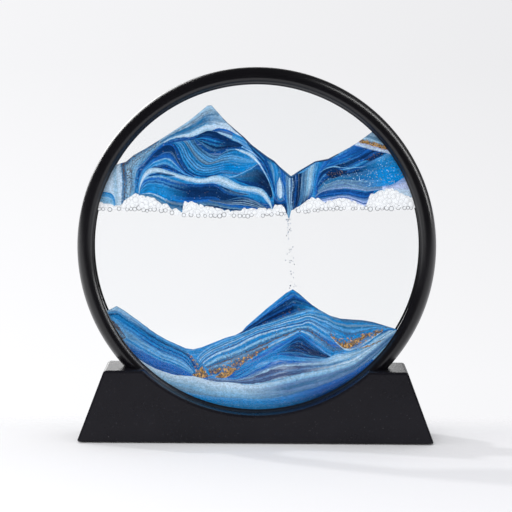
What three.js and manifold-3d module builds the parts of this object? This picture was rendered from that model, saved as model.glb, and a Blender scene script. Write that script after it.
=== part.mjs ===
// Moving sand art frame: a round liquid cell of coloured sand in a black ring that turns in a saddle base.
// Millimetres, +Z up, front towards -Y. The origin is on the standing surface, under the middle of the base.
import * as THREE from "three";
import { mergeVertices } from "three/addons/utils/BufferGeometryUtils.js";
import Module from "manifold-3d";

const wasm = await Module();
wasm.setup();

// Ring: two half-oval bezels that meet at the mid-plane
const RING_DIAMETER = 178;
const RING_FACE_WIDTH = 8.2;
const RING_CROWN = 2.7;
const RIM_WALL = 2.3;
const LIP_EDGE = 0.8;
const TONGUE_WIDTH = 0.8;
const TONGUE_HEIGHT = 1.2;
const TONGUE_CLEARANCE = 0.15;

// Liquid cell: two panes on a spacer, with a soft seal under each bezel's lip
const PANE_THICKNESS = 3;
const PANE_CHAMFER = 0.4;
const POCKET_CLEARANCE = 0.3;
const CELL_GAP = 4;
const SPACER_SETBACK = 0.8;
const SPACER_EDGE_SETBACK = 1.6;
const SEAL_THICKNESS = 0.5;
const SEAL_SETBACK = 0.5;
const SEAL_EDGE_SETBACK = 0.6;
const FILL_PORT_DIAMETER = 2.4;
const PORT_CLEARANCE = 0.15;
const PLUG_HEAD_DIAMETER = 3.2;
const PLUG_HEAD_HEIGHT = 1;

// Base: a hollow trapezoid with a saddle, and a groove that holds the ring upright
const BASE_SHORTER_THAN_RING = 1;
const BASE_END_RUN = 13.5;
const BASE_DEPTH = 34;
const BASE_HEIGHT = 35.8;
const BASE_WALL = 2.5;
const BASE_EDGE_RADIUS = 1;
const SADDLE_COVER = 7;
const SADDLE_EDGE_RADIUS = 1.3;
const SEAT_FLOOR = 6.6;
const RUNNING_CLEARANCE = 0.3;
const RIB_THICKNESS = 1.6;
const RIB_PITCH = 17;
const RIB_LIFT = 0.5;

// Base cover, its screws and the pads that it stands on
const PLATE_THICKNESS = 2.2;
const PLATE_CLEARANCE = 0.3;
const PAD_DIAMETER = 11;
const PAD_STAND = 0.5;
const PAD_RECESS = 0.6;
const PAD_CLEARANCE = 0.2;
const PAD_END_INSET = 9;
const PAD_SIDE_INSET = 7;
const PAD_TO_SCREW = 17;
const SCREW_LENGTH = 10;
const SCREW_SHANK_DIAMETER = 2.9;
const SCREW_HEAD_DIAMETER = 5.6;
const SCREW_HEAD_RIM = 0.3;
const SCREW_TIP = 1.5;
const SCREW_SINK = 0.2;
const SCREW_CLEARANCE = 0.2;
const BOSS_DIAMETER = 7;

// Contents of the cell
const FILL_CLEARANCE = 0.25;
const SAND_GAP = 0.3;
const DRAWN_UNITS = 81.35;
const FUNNEL_WIDTH = 10;
const BUBBLE_DIAMETER = 2.4;
const STREAM_DIAMETER = 1.1;

// Fineness of round surfaces
const RING_SEGMENTS = 64;
const SECTION_STEPS = 4;
const FILLET_STEPS = 3;
const SMALL_ROUND_SEGMENTS = 16;
const SPLINE_STEPS = 3;
const BUBBLE_STEPS = 2;
const OVAL_STEPS = 10;
const STREAM_SIDES = 8;
const STREAM_STEPS = 6;

// Overshoot of a cutting body past the face it cuts through
const OVERCUT = 1;
const MERGE_DISTANCE = 1e-4;

// Sizes that follow from the ring
const ringRadius = RING_DIAMETER / 2;
const crestRadius = ringRadius - RING_FACE_WIDTH / 2;
const windowRadius = ringRadius - RING_FACE_WIDTH;
const pocketRadius = ringRadius - RIM_WALL;
const paneRadius = pocketRadius - POCKET_CLEARANCE;
const cellRadius = windowRadius + SPACER_SETBACK;
const spacerOuterRadius = paneRadius - SPACER_EDGE_SETBACK;
const paneInnerFace = CELL_GAP / 2;
const paneOuterFace = paneInnerFace + PANE_THICKNESS;
const lipBack = paneOuterFace + SEAL_THICKNESS;
const lipFront = lipBack + LIP_EDGE;
const ringHalfDepth = lipFront + RING_CROWN;
const lipAngle = Math.acos(lipFront / ringHalfDepth);
const innerSweep = RING_FACE_WIDTH / 2 / Math.sin(lipAngle);

// Sizes that follow from the base
const baseUnderside = PAD_STAND;
const baseTop = baseUnderside + BASE_HEIGHT;
const plateTop = baseUnderside + PLATE_THICKNESS;
const halfDepth = BASE_DEPTH / 2;
const baseHalfLength = (RING_DIAMETER - BASE_SHORTER_THAN_RING) / 2;
const sideLean = BASE_END_RUN / BASE_HEIGHT;
const wallAcross = BASE_WALL * Math.hypot(1, sideLean);
const saddleRadius = ringRadius - SADDLE_COVER;
const ringHeight = baseUnderside + SEAT_FLOOR + RUNNING_CLEARANCE + ringRadius;

// A closed mesh as a solid that can be joined and cut, with its faces turned outwards.
function solidOf(geometry) {
  geometry.deleteAttribute("normal");
  geometry.deleteAttribute("uv");
  const merged = mergeVertices(geometry, MERGE_DISTANCE);
  const position = merged.attributes.position;
  const corners = [0, 1, 2].map(() => new THREE.Vector3());
  const triangles = [];
  let volume = 0;
  for (let i = 0; i < merged.index.count; i += 3) {
    const face = [0, 1, 2].map((k) => merged.index.getX(i + k));
    if (new Set(face).size === 3) {
      face.forEach((vertex, k) => corners[k].fromBufferAttribute(position, vertex));
      volume += corners[0].dot(corners[1].clone().cross(corners[2]));
      triangles.push(face);
    }
  }
  if (volume < 0) triangles.forEach((face) => face.reverse());
  return new wasm.Manifold(new wasm.Mesh({
    numProp: 3,
    vertProperties: new Float32Array(position.array),
    triVerts: new Uint32Array(triangles.flat()),
  }));
}

// A solid's surface as a flat-shaded geometry.
function geometryOf(solid) {
  const mesh = solid.getMesh();
  const indexed = new THREE.BufferGeometry();
  indexed.setAttribute("position", new THREE.BufferAttribute(mesh.vertProperties, 3));
  indexed.setIndex(new THREE.BufferAttribute(mesh.triVerts, 1));
  const geometry = indexed.toNonIndexed();
  geometry.computeVertexNormals();
  return geometry;
}

// A round body about the ring's axis, from a closed profile of [radius, depth] pairs.
function turned(profile, axisHeight = 0) {
  const points = [...profile, profile[0]].map(([radius, depth]) => new THREE.Vector2(radius, depth));
  const geometry = new THREE.LatheGeometry(points, RING_SEGMENTS);
  geometry.translate(0, 0, axisHeight);
  return solidOf(geometry);
}

// A round body about an upright axis, from a closed profile of [radius, height] pairs.
function turnedUpright(profile, x, y) {
  const points = [...profile, profile[0]].map(([radius, height]) => new THREE.Vector2(radius, height));
  const geometry = new THREE.LatheGeometry(points, SMALL_ROUND_SEGMENTS);
  geometry.rotateX(Math.PI / 2);
  geometry.translate(x, y, 0);
  return solidOf(geometry);
}

function uprightRod(radius, bottom, top, x, y) {
  return turnedUpright([[0, bottom], [radius, bottom], [radius, top], [0, top]], x, y);
}

// A flat ring about the ring's axis.
function flatRing(innerRadius, outerRadius, front, back) {
  return turned([[innerRadius, front], [outerRadius, front], [outerRadius, back], [innerRadius, back]]);
}

// A body drawn as an outline in the X-Z plane and extruded along Y between two depths.
function prism(outline, front, back) {
  const geometry = new THREE.ExtrudeGeometry(outline, {
    depth: back - front,
    bevelEnabled: false,
    curveSegments: BUBBLE_STEPS,
  });
  geometry.rotateX(Math.PI / 2);
  geometry.translate(0, back, 0);
  return solidOf(geometry);
}

function block(left, right, front, back, bottom, top) {
  const geometry = new THREE.BoxGeometry(right - left, back - front, top - bottom);
  geometry.translate((left + right) / 2, (front + back) / 2, (bottom + top) / 2);
  return solidOf(geometry);
}

function shapeThrough(points) {
  return new THREE.Shape(points.map(([x, z]) => new THREE.Vector2(x, z)));
}

// An arc of [radius, depth] points on an ellipse about the crest circle; angle 0 is the crest of the face.
function sectionArc(acrossSweep, depthSweep, fromAngle, toAngle) {
  return Array.from({ length: SECTION_STEPS + 1 }, (_, i) => {
    const angle = fromAngle + ((toAngle - fromAngle) * i) / SECTION_STEPS;
    return [crestRadius + acrossSweep * Math.sin(angle), depthSweep * Math.cos(angle)];
  });
}

// Ring section

// The ring's rounded face from its inner end to the outer edge at the mid-plane, grown by a clearance.
function faceContour(innerAngle, clearance = 0) {
  const depthSweep = ringHalfDepth + clearance;
  const inner = sectionArc(innerSweep + clearance, depthSweep, -innerAngle, 0);
  const outer = sectionArc(RING_FACE_WIDTH / 2 + clearance, depthSweep, 0, Math.PI / 2);
  return [...inner, ...outer.slice(1)];
}

// Half of the ring: rounded face, square lip over the pane, pocket for the cell, tongue or groove at the joint.
// Side is -1 for the front half and 1 for the rear; the joint's reach is positive for a groove.
function bezel(side, jointHalfWidth, jointReach) {
  const jointMiddle = (ringRadius + pocketRadius) / 2;
  const profile = [
    [windowRadius, lipBack],
    ...faceContour(lipAngle),
    [jointMiddle + jointHalfWidth, 0],
    [jointMiddle + jointHalfWidth, jointReach],
    [jointMiddle - jointHalfWidth, jointReach],
    [jointMiddle - jointHalfWidth, 0],
    [pocketRadius, 0],
    [pocketRadius, lipBack],
  ];
  return turned(profile.map(([radius, depth]) => [radius, side * depth]));
}

const frontBezel = bezel(-1, TONGUE_WIDTH / 2 + TONGUE_CLEARANCE, TONGUE_HEIGHT + TONGUE_CLEARANCE);
const rearBezel = bezel(1, TONGUE_WIDTH / 2, -TONGUE_HEIGHT);

// Liquid cell

function pane(side) {
  const profile = [
    [0, paneInnerFace],
    [paneRadius - PANE_CHAMFER, paneInnerFace],
    [paneRadius, paneInnerFace + PANE_CHAMFER],
    [paneRadius, paneOuterFace - PANE_CHAMFER],
    [paneRadius - PANE_CHAMFER, paneOuterFace],
    [0, paneOuterFace],
  ];
  return turned(profile.map(([radius, depth]) => [radius, side * depth]));
}

function seal(side) {
  const innerRadius = windowRadius + SEAL_SETBACK;
  const outerRadius = paneRadius - SEAL_EDGE_SETBACK;
  return flatRing(innerRadius, outerRadius, side * paneOuterFace, side * lipBack);
}

// The filling port is a bore through the top of the spacer; its plug keeps a head outside the spacer.
const portRadius = FILL_PORT_DIAMETER / 2;
const fillPort = uprightRod(portRadius, cellRadius - OVERCUT, spacerOuterRadius + OVERCUT, 0, 0);
const spacer = flatRing(cellRadius, spacerOuterRadius, -paneInnerFace, paneInnerFace).subtract(fillPort);
const plugSeat = spacerOuterRadius + PORT_CLEARANCE;
const fillPlug = turnedUpright([
  [0, cellRadius],
  [portRadius - PORT_CLEARANCE, cellRadius],
  [portRadius - PORT_CLEARANCE, plugSeat],
  [PLUG_HEAD_DIAMETER / 2, plugSeat],
  [PLUG_HEAD_DIAMETER / 2, plugSeat + PLUG_HEAD_HEIGHT],
  [0, plugSeat + PLUG_HEAD_HEIGHT],
], 0, 0);

// Contents of the cell: every body fills the gap between the panes and is trimmed by the cell's wall.
// The sand's outlines are drawn as [x, z] from the ring's centre, in drawn units counted to the cell's wall.

const fillRadius = cellRadius - FILL_CLEARANCE;
const fillHalfDepth = paneInnerFace - FILL_CLEARANCE;
const beyondWall = 2 * fillRadius;
const trimDepth = fillHalfDepth + OVERCUT;
const cellWall = turned([[0, -trimDepth], [fillRadius, -trimDepth], [fillRadius, trimDepth], [0, trimDepth]]);

function drawn([x, z]) {
  const scale = fillRadius / DRAWN_UNITS;
  return [x * scale, z * scale];
}

function filling(outline) {
  return prism(outline, -fillHalfDepth, fillHalfDepth).intersect(cellWall);
}

// A smooth slope of sand through a few drawn points.
function slope(points) {
  const spline = new THREE.SplineCurve(points.map((point) => new THREE.Vector2(...drawn(point))));
  return spline.getPoints(SPLINE_STEPS * (points.length - 1)).map((point) => [point.x, point.y]);
}

// Slopes that meet in sharp peaks and valleys.
function joinedSlopes(...slopes) {
  return slopes.flatMap((points, i) => slope(points).slice(i === 0 ? 0 : 1));
}

// A line carried on level, past the cell's wall at its left, its right or both ends.
function pastLeft(line) {
  return [[-beyondWall, line[0][1]], ...line];
}

function pastRight(line) {
  return [...line, [beyondWall, line.at(-1)[1]]];
}

// A line moved to its left by a distance: upwards where the line runs in +X.
function movedLine(line, distance) {
  return line.map(([x, z], i) => {
    const before = line[Math.max(i - 1, 0)];
    const after = line[Math.min(i + 1, line.length - 1)];
    const run = after[0] - before[0];
    const rise = after[1] - before[1];
    const length = Math.hypot(run, rise);
    return [x - (distance * rise) / length, z + (distance * run) / length];
  });
}

// A layer between two lines that both run from wall to wall.
function layer(topLine, bottomLine) {
  return filling(shapeThrough([...topLine, ...bottomLine.toReversed()]));
}

// A tilted oval pocket of sand, and the hole that it lies in.
function oval(centre, acrossRadius, uprightRadius, tilt, margin = 0) {
  const [x, z] = drawn(centre);
  const [across, upright] = drawn([acrossRadius, uprightRadius]);
  const outline = new THREE.Shape();
  outline.absellipse(x, z, across + margin, upright + margin, 0, 2 * Math.PI, false, tilt);
  return shapeThrough(outline.getPoints(OVAL_STEPS).slice(0, -1).map((point) => [point.x, point.y]));
}

function pocketHole(pocket) {
  return prism(oval(...pocket, SAND_GAP), -trimDepth, trimDepth);
}

// Upper bank: two peaks with a valley between them, over a funnel that lets the grains out.
const leftPeak = [-23.3, 70.2];
const valley = [16.7, 34.9];
const funnelMouth = [16.2, 13.6];
const upperCrest = pastLeft(pastRight(joinedSlopes(
  [[-80, 38], [-70, 40.2], [-61, 45], [-47.7, 53.2], [-30, 65.2], leftPeak],
  [leftPeak, [-13.8, 60.5], [-4, 51.8], [4.8, 44.2], [11, 40], valley],
  [valley, [21.7, 38.6], [28.6, 42.7], [36, 44.2], [48.7, 51.6], [56, 57], [68, 65]],
)));
const upperUndersideLeft = pastLeft(slope([
  [-80, 21.6], [-69.8, 20.8], [-60, 26], [-49, 22.3], [-37, 19.4], [-22, 20], [-9, 18.6], [3, 19.4],
  [11.5, 18.6], funnelMouth,
]));
const upperUndersideRight = pastRight(slope([
  funnelMouth, [20.4, 20.2], [28.6, 25.2], [36, 22.8], [47.5, 23.2], [54, 22.2], [58, 27], [68, 29.4], [80, 25],
]));
const upperUnderside = [...upperUndersideLeft, ...upperUndersideRight.slice(1)];
const upperGold = [[57, 51], 5, 1.3, -0.35];
const upperSand = layer(upperCrest, upperUnderside).subtract(pocketHole(upperGold));
const upperGoldSand = filling(oval(...upperGold));

// Bubble raft: packed against the bank's underside, with a scalloped row of bubbles along its lower edge.
const funnelTip = drawn(funnelMouth);
const funnelLeft = funnelTip[0] - FUNNEL_WIDTH / 2;
const funnelRight = funnelTip[0] + FUNNEL_WIDTH / 2;
const raftLineLeft = pastLeft([[-80, 18.4], [-53, 18.2], [-38, 16], [-3, 15.8], [18, 16.6]].map(drawn));
const raftLineRight = pastRight([[14, 17], [34, 19.4], [60, 19.2], [80, 20]].map(drawn));

function heightOn(line, x) {
  const next = line.findIndex((point, i) => i > 0 && point[0] >= x);
  const [from, to] = [line[next - 1], line[next]];
  return from[1] + ((to[1] - from[1]) * (x - from[0])) / (to[0] - from[0]);
}

// The underside of the bank closes the raft above; scallops run back from right to left below.
function bubbleRaft(underside, raftLine, leftEnd, rightEnd) {
  const raftTop = movedLine(underside, -SAND_GAP).filter(([x]) => x > leftEnd && x < rightEnd);
  const outline = shapeThrough([
    [leftEnd, heightOn(underside, leftEnd) - SAND_GAP],
    ...raftTop,
    [rightEnd, heightOn(underside, rightEnd) - SAND_GAP],
  ]);
  const bubbles = Math.floor((rightEnd - leftEnd) / BUBBLE_DIAMETER);
  for (let i = 0; i < bubbles; i += 1) {
    const x = rightEnd - (i + 0.5) * BUBBLE_DIAMETER;
    const bubbleRadius = BUBBLE_DIAMETER / 2;
    outline.absarc(x, heightOn(raftLine, x) + bubbleRadius, bubbleRadius, 0, Math.PI, true);
  }
  return filling(outline);
}

const pastCell = fillRadius + BUBBLE_DIAMETER;
const bubbleRaftLeft = bubbleRaft(upperUndersideLeft, raftLineLeft, -pastCell, funnelLeft);
const bubbleRaftRight = bubbleRaft(upperUndersideRight, raftLineRight, funnelRight, pastCell);

// Lower range: a peak under the funnel, a long valley to its left and a shoulder to its right.
const lowerPeak = [17.2, -21.3];
const lowerLeftPeak = [-70, -30.5];
const lowerCrest = pastLeft(pastRight(joinedSlopes(
  [[-80, -34], lowerLeftPeak],
  [
    lowerLeftPeak, [-53.3, -40.6], [-42, -48.3], [-32, -51.9], [-22, -48.8], [-8, -42.6], [3.5, -32.1],
    lowerPeak,
  ],
  [lowerPeak, [28.2, -28.3], [41, -35.2], [55, -36.2], [69, -40.1], [80, -41]],
)));
const driftCrest = pastLeft(pastRight(slope([
  [-66, -50], [-50, -59.3], [-38, -64.1], [-22, -65.2], [-4, -62.7], [9.5, -58.5], [22, -56.9], [37, -53.3],
  [52, -49.6], [64, -45.6], [80, -43],
])));
const bedCrest = pastLeft(pastRight(slope([
  [-60, -62], [-40, -69.3], [-15, -76.3], [8, -77.3], [30, -75.3], [55, -66],
])));
const leftGold = [[-21, -56.7], 8, 5, 0];
const rightGold = [[51, -45.8], 12, 1.9, 0.36];
const belowCell = [[-beyondWall, -beyondWall], [beyondWall, -beyondWall]];
const lowerSand = layer(lowerCrest, movedLine(driftCrest, SAND_GAP))
  .subtract(pocketHole(leftGold))
  .subtract(pocketHole(rightGold));
const driftSand = layer(driftCrest, movedLine(bedCrest, SAND_GAP));
const bedSand = layer(bedCrest, belowCell);
const goldSandLeft = filling(oval(...leftGold));
const goldSandRight = filling(oval(...rightGold));

// Falling sand: a thin stream that leaves the funnel's tip and ends on the lower peak.
function streamTube(diameter, endGap) {
  const circle = new THREE.Shape();
  circle.absarc(0, 0, diameter / 2, 0, 2 * Math.PI);
  const corners = circle.getPoints(STREAM_SIDES / 2).slice(0, -1);
  const section = shapeThrough(corners.map((point) => [point.x, point.y]));
  const peak = drawn(lowerPeak);
  const start = new THREE.Vector3(funnelTip[0], 0, funnelTip[1] - endGap);
  const end = new THREE.Vector3(peak[0], 0, peak[1] + endGap);
  return solidOf(new THREE.ExtrudeGeometry(section, {
    steps: STREAM_STEPS,
    extrudePath: new THREE.LineCurve3(start, end),
  }));
}

const fallingSand = streamTube(STREAM_DIAMETER, SAND_GAP);

// Liquid: what the sand, the bubbles and the stream leave of the cell.
const aboveCell = [[-beyondWall, beyondWall], [beyondWall, beyondWall]];
const upperLiquid = layer(aboveCell, movedLine(upperCrest, SAND_GAP));
const raftUnderside = [
  ...raftLineLeft.filter(([x]) => x < funnelLeft),
  [funnelLeft, heightOn(raftLineLeft, funnelLeft)],
  funnelTip,
  [funnelRight, heightOn(raftLineRight, funnelRight)],
  ...raftLineRight.filter(([x]) => x > funnelRight),
].map(([x, z]) => [x, z - SAND_GAP]);
const lowerLiquid = layer(raftUnderside, movedLine(lowerCrest, SAND_GAP))
  .subtract(streamTube(STREAM_DIAMETER + 2 * SAND_GAP, -SAND_GAP));

// Base shell

function halfLengthAt(height) {
  return baseHalfLength - sideLean * (height - baseUnderside);
}

// A trapezoid that follows the base's leaning ends, drawn in by an inset.
function baseOutline(inset, bottom, top) {
  const bottomEnd = halfLengthAt(bottom) - inset;
  const topEnd = halfLengthAt(top) - inset;
  return shapeThrough([[-bottomEnd, bottom], [bottomEnd, bottom], [topEnd, top], [-topEnd, top]]);
}

// The outer block, with its front and rear edges rounded.
function baseBlock() {
  const geometry = new THREE.ExtrudeGeometry(baseOutline(0, baseUnderside, baseTop), {
    depth: BASE_DEPTH - 2 * BASE_EDGE_RADIUS,
    bevelThickness: BASE_EDGE_RADIUS,
    bevelSize: BASE_EDGE_RADIUS,
    bevelOffset: -BASE_EDGE_RADIUS,
    bevelSegments: FILLET_STEPS,
  });
  geometry.rotateX(Math.PI / 2);
  geometry.translate(0, halfDepth - BASE_EDGE_RADIUS, 0);
  return solidOf(geometry);
}

// The space that the saddle and the ring's groove take out of the base, grown by a margin.
// The saddle's front and rear edges are rounded over.
function seatSpace(margin, edgeRadius) {
  const radius = saddleRadius + margin;
  const clearance = RUNNING_CLEARANCE + margin;
  const grooveAngle = Math.asin((crestRadius - radius) / (innerSweep + clearance));
  const edge = Array.from({ length: FILLET_STEPS + 1 }, (_, i) => {
    const angle = (Math.PI / 2) * (i / FILLET_STEPS);
    return [
      radius + edgeRadius * (1 - Math.sin(angle)),
      halfDepth - edgeRadius * (1 - Math.cos(angle)),
    ];
  });
  const half = [
    [0, halfDepth + OVERCUT],
    [radius + edgeRadius, halfDepth + OVERCUT],
    ...(edgeRadius > 0 ? edge : []),
    ...faceContour(grooveAngle, clearance),
  ];
  const front = half.map(([r, depth]) => [r, -depth]);
  const rear = half.slice(0, -1).reverse();
  return turned([...front, ...rear], ringHeight);
}

// Places of the screws and pads, measured in from the cover's ends and sides
const plateHalfLength = halfLengthAt(plateTop) - wallAcross - PLATE_CLEARANCE;
const plateHalfDepth = halfDepth - BASE_WALL - PLATE_CLEARANCE;
const padX = plateHalfLength - PAD_END_INSET;
const padY = plateHalfDepth - PAD_SIDE_INSET;
const screwX = padX - PAD_TO_SCREW;
const quarters = [[-1, -1], [1, -1], [1, 1], [-1, 1]];
const screwPlaces = quarters.map(([x, y]) => [x * screwX, y * padY]);
const padPlaces = quarters.map(([x, y]) => [x * padX, y * padY]);

// Cross ribs, which end just above the cover, stiffen the hollow, and bosses take the screws.
function hollow() {
  const innerTop = baseTop - BASE_WALL;
  const innerDepth = halfDepth - BASE_WALL;
  let space = prism(baseOutline(wallAcross, baseUnderside - OVERCUT, innerTop), -innerDepth, innerDepth);
  space = space.subtract(seatSpace(BASE_WALL, 0));
  for (let x = RIB_PITCH / 2; x < plateHalfLength; x += RIB_PITCH) {
    for (const side of [-1, 1]) {
      const left = side * x - RIB_THICKNESS / 2;
      const right = left + RIB_THICKNESS;
      space = space.subtract(block(left, right, -halfDepth, halfDepth, plateTop + RIB_LIFT, baseTop));
    }
  }
  for (const [x, y] of screwPlaces) {
    space = space.subtract(uprightRod(BOSS_DIAMETER / 2, plateTop, baseTop, x, y));
  }
  return space;
}

const boreRadius = SCREW_SHANK_DIAMETER / 2 + SCREW_CLEARANCE;
const screwBottom = baseUnderside + SCREW_SINK;
const boreTop = screwBottom + SCREW_LENGTH + SCREW_CLEARANCE;
let baseShell = baseBlock().subtract(seatSpace(0, SADDLE_EDGE_RADIUS)).subtract(hollow());
for (const [x, y] of screwPlaces) {
  baseShell = baseShell.subtract(uprightRod(boreRadius, baseUnderside, boreTop, x, y));
}

// Base cover, screws and pads

const headRadius = SCREW_HEAD_DIAMETER / 2;
const coneTop = screwBottom + SCREW_HEAD_RIM + headRadius - SCREW_SHANK_DIAMETER / 2;
const padRadius = PAD_DIAMETER / 2;

function countersink(x, y) {
  return turnedUpright([
    [0, baseUnderside - OVERCUT],
    [headRadius + SCREW_CLEARANCE, baseUnderside - OVERCUT],
    [headRadius + SCREW_CLEARANCE, screwBottom + SCREW_HEAD_RIM],
    [boreRadius, coneTop],
    [boreRadius, coneTop + PLATE_THICKNESS],
    [0, coneTop + PLATE_THICKNESS],
  ], x, y);
}

function screw(x, y) {
  return turnedUpright([
    [0, screwBottom],
    [headRadius, screwBottom],
    [headRadius, screwBottom + SCREW_HEAD_RIM],
    [SCREW_SHANK_DIAMETER / 2, coneTop],
    [SCREW_SHANK_DIAMETER / 2, screwBottom + SCREW_LENGTH - SCREW_TIP],
    [0, screwBottom + SCREW_LENGTH],
  ], x, y);
}

let basePlate = prism(
  baseOutline(wallAcross + PLATE_CLEARANCE, baseUnderside, plateTop), -plateHalfDepth, plateHalfDepth,
);
for (const [x, y] of screwPlaces) {
  basePlate = basePlate.subtract(countersink(x, y));
}
for (const [x, y] of padPlaces) {
  const recessTop = baseUnderside + PAD_RECESS;
  const recess = uprightRod(padRadius + PAD_CLEARANCE, baseUnderside - OVERCUT, recessTop, x, y);
  basePlate = basePlate.subtract(recess);
}

function pad(x, y) {
  return uprightRod(padRadius, baseUnderside - PAD_STAND, baseUnderside + PAD_RECESS, x, y);
}

// Assembly

function piece(name, solid, color, roughness, metalness = 0) {
  const material = new THREE.MeshStandardMaterial({ color, roughness, metalness });
  const mesh = new THREE.Mesh(geometryOf(solid), material);
  mesh.name = name;
  return mesh;
}

const base = new THREE.Group();
base.add(piece("base_shell", baseShell, 0x232326, 0.6));
base.add(piece("base_plate", basePlate, 0x1d1d20, 0.7));
screwPlaces.forEach(([x, y], i) => base.add(piece(`base_screw_${i + 1}`, screw(x, y), 0x8a8c90, 0.35, 1)));
padPlaces.forEach(([x, y], i) => base.add(piece(`foot_pad_${i + 1}`, pad(x, y), 0x161616, 0.9)));

const ring = new THREE.Group();
ring.position.z = ringHeight;
ring.add(piece("front_bezel", frontBezel, 0x19181d, 0.3));
ring.add(piece("rear_bezel", rearBezel, 0x19181d, 0.3));
ring.add(piece("front_glass", pane(-1), 0xf4f8f8, 0.02));
ring.add(piece("rear_glass", pane(1), 0xf4f8f8, 0.02));
ring.add(piece("front_seal", seal(-1), 0x121212, 0.8));
ring.add(piece("rear_seal", seal(1), 0x121212, 0.8));
ring.add(piece("spacer_ring", spacer, 0x151515, 0.7));
ring.add(piece("fill_plug", fillPlug, 0x2a2a2a, 0.8));
ring.add(piece("upper_sand", upperSand, 0x2f6fb4, 0.9));
ring.add(piece("upper_gold_sand", upperGoldSand, 0xb98a45, 0.6));
ring.add(piece("bubble_raft_left", bubbleRaftLeft, 0xf2f5f7, 0.05));
ring.add(piece("bubble_raft_right", bubbleRaftRight, 0xf2f5f7, 0.05));
ring.add(piece("falling_sand", fallingSand, 0x8fb4d8, 0.9));
ring.add(piece("lower_sand", lowerSand, 0x2a68a8, 0.9));
ring.add(piece("drift_sand", driftSand, 0x9fc0de, 0.9));
ring.add(piece("bed_sand", bedSand, 0x1d5fa6, 0.9));
ring.add(piece("gold_sand_left", goldSandLeft, 0xb98a45, 0.6));
ring.add(piece("gold_sand_right", goldSandRight, 0xb98a45, 0.6));
ring.add(piece("upper_liquid", upperLiquid, 0xeef4f6, 0.02));
ring.add(piece("lower_liquid", lowerLiquid, 0xeef4f6, 0.02));

const sandArtFrame = new THREE.Group();
sandArtFrame.name = "moving_sand_art_frame";
sandArtFrame.add(base, ring);

export default sandArtFrame;
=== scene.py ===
import math
import random

import bpy
import numpy as np
from mathutils import Matrix, Vector, noise


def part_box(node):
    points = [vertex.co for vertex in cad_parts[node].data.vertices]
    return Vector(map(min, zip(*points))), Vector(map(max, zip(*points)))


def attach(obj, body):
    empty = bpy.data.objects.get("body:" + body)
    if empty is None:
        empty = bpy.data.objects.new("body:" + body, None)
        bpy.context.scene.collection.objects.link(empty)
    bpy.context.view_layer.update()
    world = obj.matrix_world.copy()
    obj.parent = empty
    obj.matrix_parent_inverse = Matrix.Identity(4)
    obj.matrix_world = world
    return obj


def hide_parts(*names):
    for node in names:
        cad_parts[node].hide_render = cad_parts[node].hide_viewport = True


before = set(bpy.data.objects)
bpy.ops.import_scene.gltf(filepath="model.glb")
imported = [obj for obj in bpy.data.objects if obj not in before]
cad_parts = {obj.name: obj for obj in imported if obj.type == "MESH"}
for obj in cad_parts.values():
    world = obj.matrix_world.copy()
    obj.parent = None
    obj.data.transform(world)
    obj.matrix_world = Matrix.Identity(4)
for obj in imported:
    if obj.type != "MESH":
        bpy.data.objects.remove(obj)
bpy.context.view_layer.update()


# Base shell: a trapezoid of black plastic, moulded in one shot with a saddle and a groove for the ring.
# The edges are rounded, the saddle's edges are eased, and a shallow recess below takes the cover.
# The mould is spark eroded, which leaves a fine pebbled skin; a few bright points on it are painted glints.
ring_low, ring_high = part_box("front_bezel")
ring_radius = (ring_high.x - ring_low.x) / 2
ring_height = (ring_high.z + ring_low.z) / 2
ring_half_depth = -ring_low.y
RING_FACE_WIDTH = 0.0082
LIP_FRONT = 0.0063
crest_radius = ring_radius - RING_FACE_WIDTH / 2
window_radius = ring_radius - RING_FACE_WIDTH
lip_angle = math.acos(LIP_FRONT / ring_half_depth)
inner_sweep = RING_FACE_WIDTH / 2 / math.sin(lip_angle)
RING_STEPS = 240
SECTION_STEPS = 14

shell_low, shell_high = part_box("base_shell")
shell_size = shell_high - shell_low
BASE_END_RUN = 0.0135
BASE_EDGE_RADIUS = 0.0013
COVER_WALL = 0.0028
COVER_RECESS = 0.0028
SADDLE_COVER = 0.007
SADDLE_EDGE_RADIUS = 0.0013
RUNNING_CLEARANCE = 0.0003
FILLET_STEPS = 6
OVERCUT = 0.001
FLAT_NORMAL = 0.9
MERGE_DISTANCE = 1e-6
TURNED_SMOOTH = math.radians(35)
BASE_SMOOTH = math.radians(30)


def pick_faces(piece, test):
    """Leaves the piece in edit mode with just the faces selected that pass the test."""
    bpy.ops.object.mode_set(mode="EDIT")
    bpy.ops.mesh.select_mode(type="FACE")
    bpy.ops.mesh.select_all(action="DESELECT")
    bpy.ops.object.mode_set(mode="OBJECT")
    for face in piece.data.polygons:
        face.select = test(face)
    bpy.ops.object.mode_set(mode="EDIT")


def section_arc(crest, across_sweep, depth_sweep, from_angle, to_angle, steps=SECTION_STEPS):
    """Points of the ring's oval section, as (radius, depth); angle 0 is the crest of its face."""
    angles = [from_angle + (to_angle - from_angle) * step / steps for step in range(steps + 1)]
    return [(crest + across_sweep * math.sin(angle), depth_sweep * math.cos(angle)) for angle in angles]


def face_contour(inner_angle, clearance=0.0):
    """The ring's rounded face from its inner end to the outer edge at the mid-plane."""
    depth_sweep = ring_half_depth + clearance
    inner = section_arc(crest_radius, inner_sweep + clearance, depth_sweep, -inner_angle, 0)
    outer = section_arc(crest_radius, RING_FACE_WIDTH / 2 + clearance, depth_sweep, 0, math.pi / 2)
    return inner + outer[1:]


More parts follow.
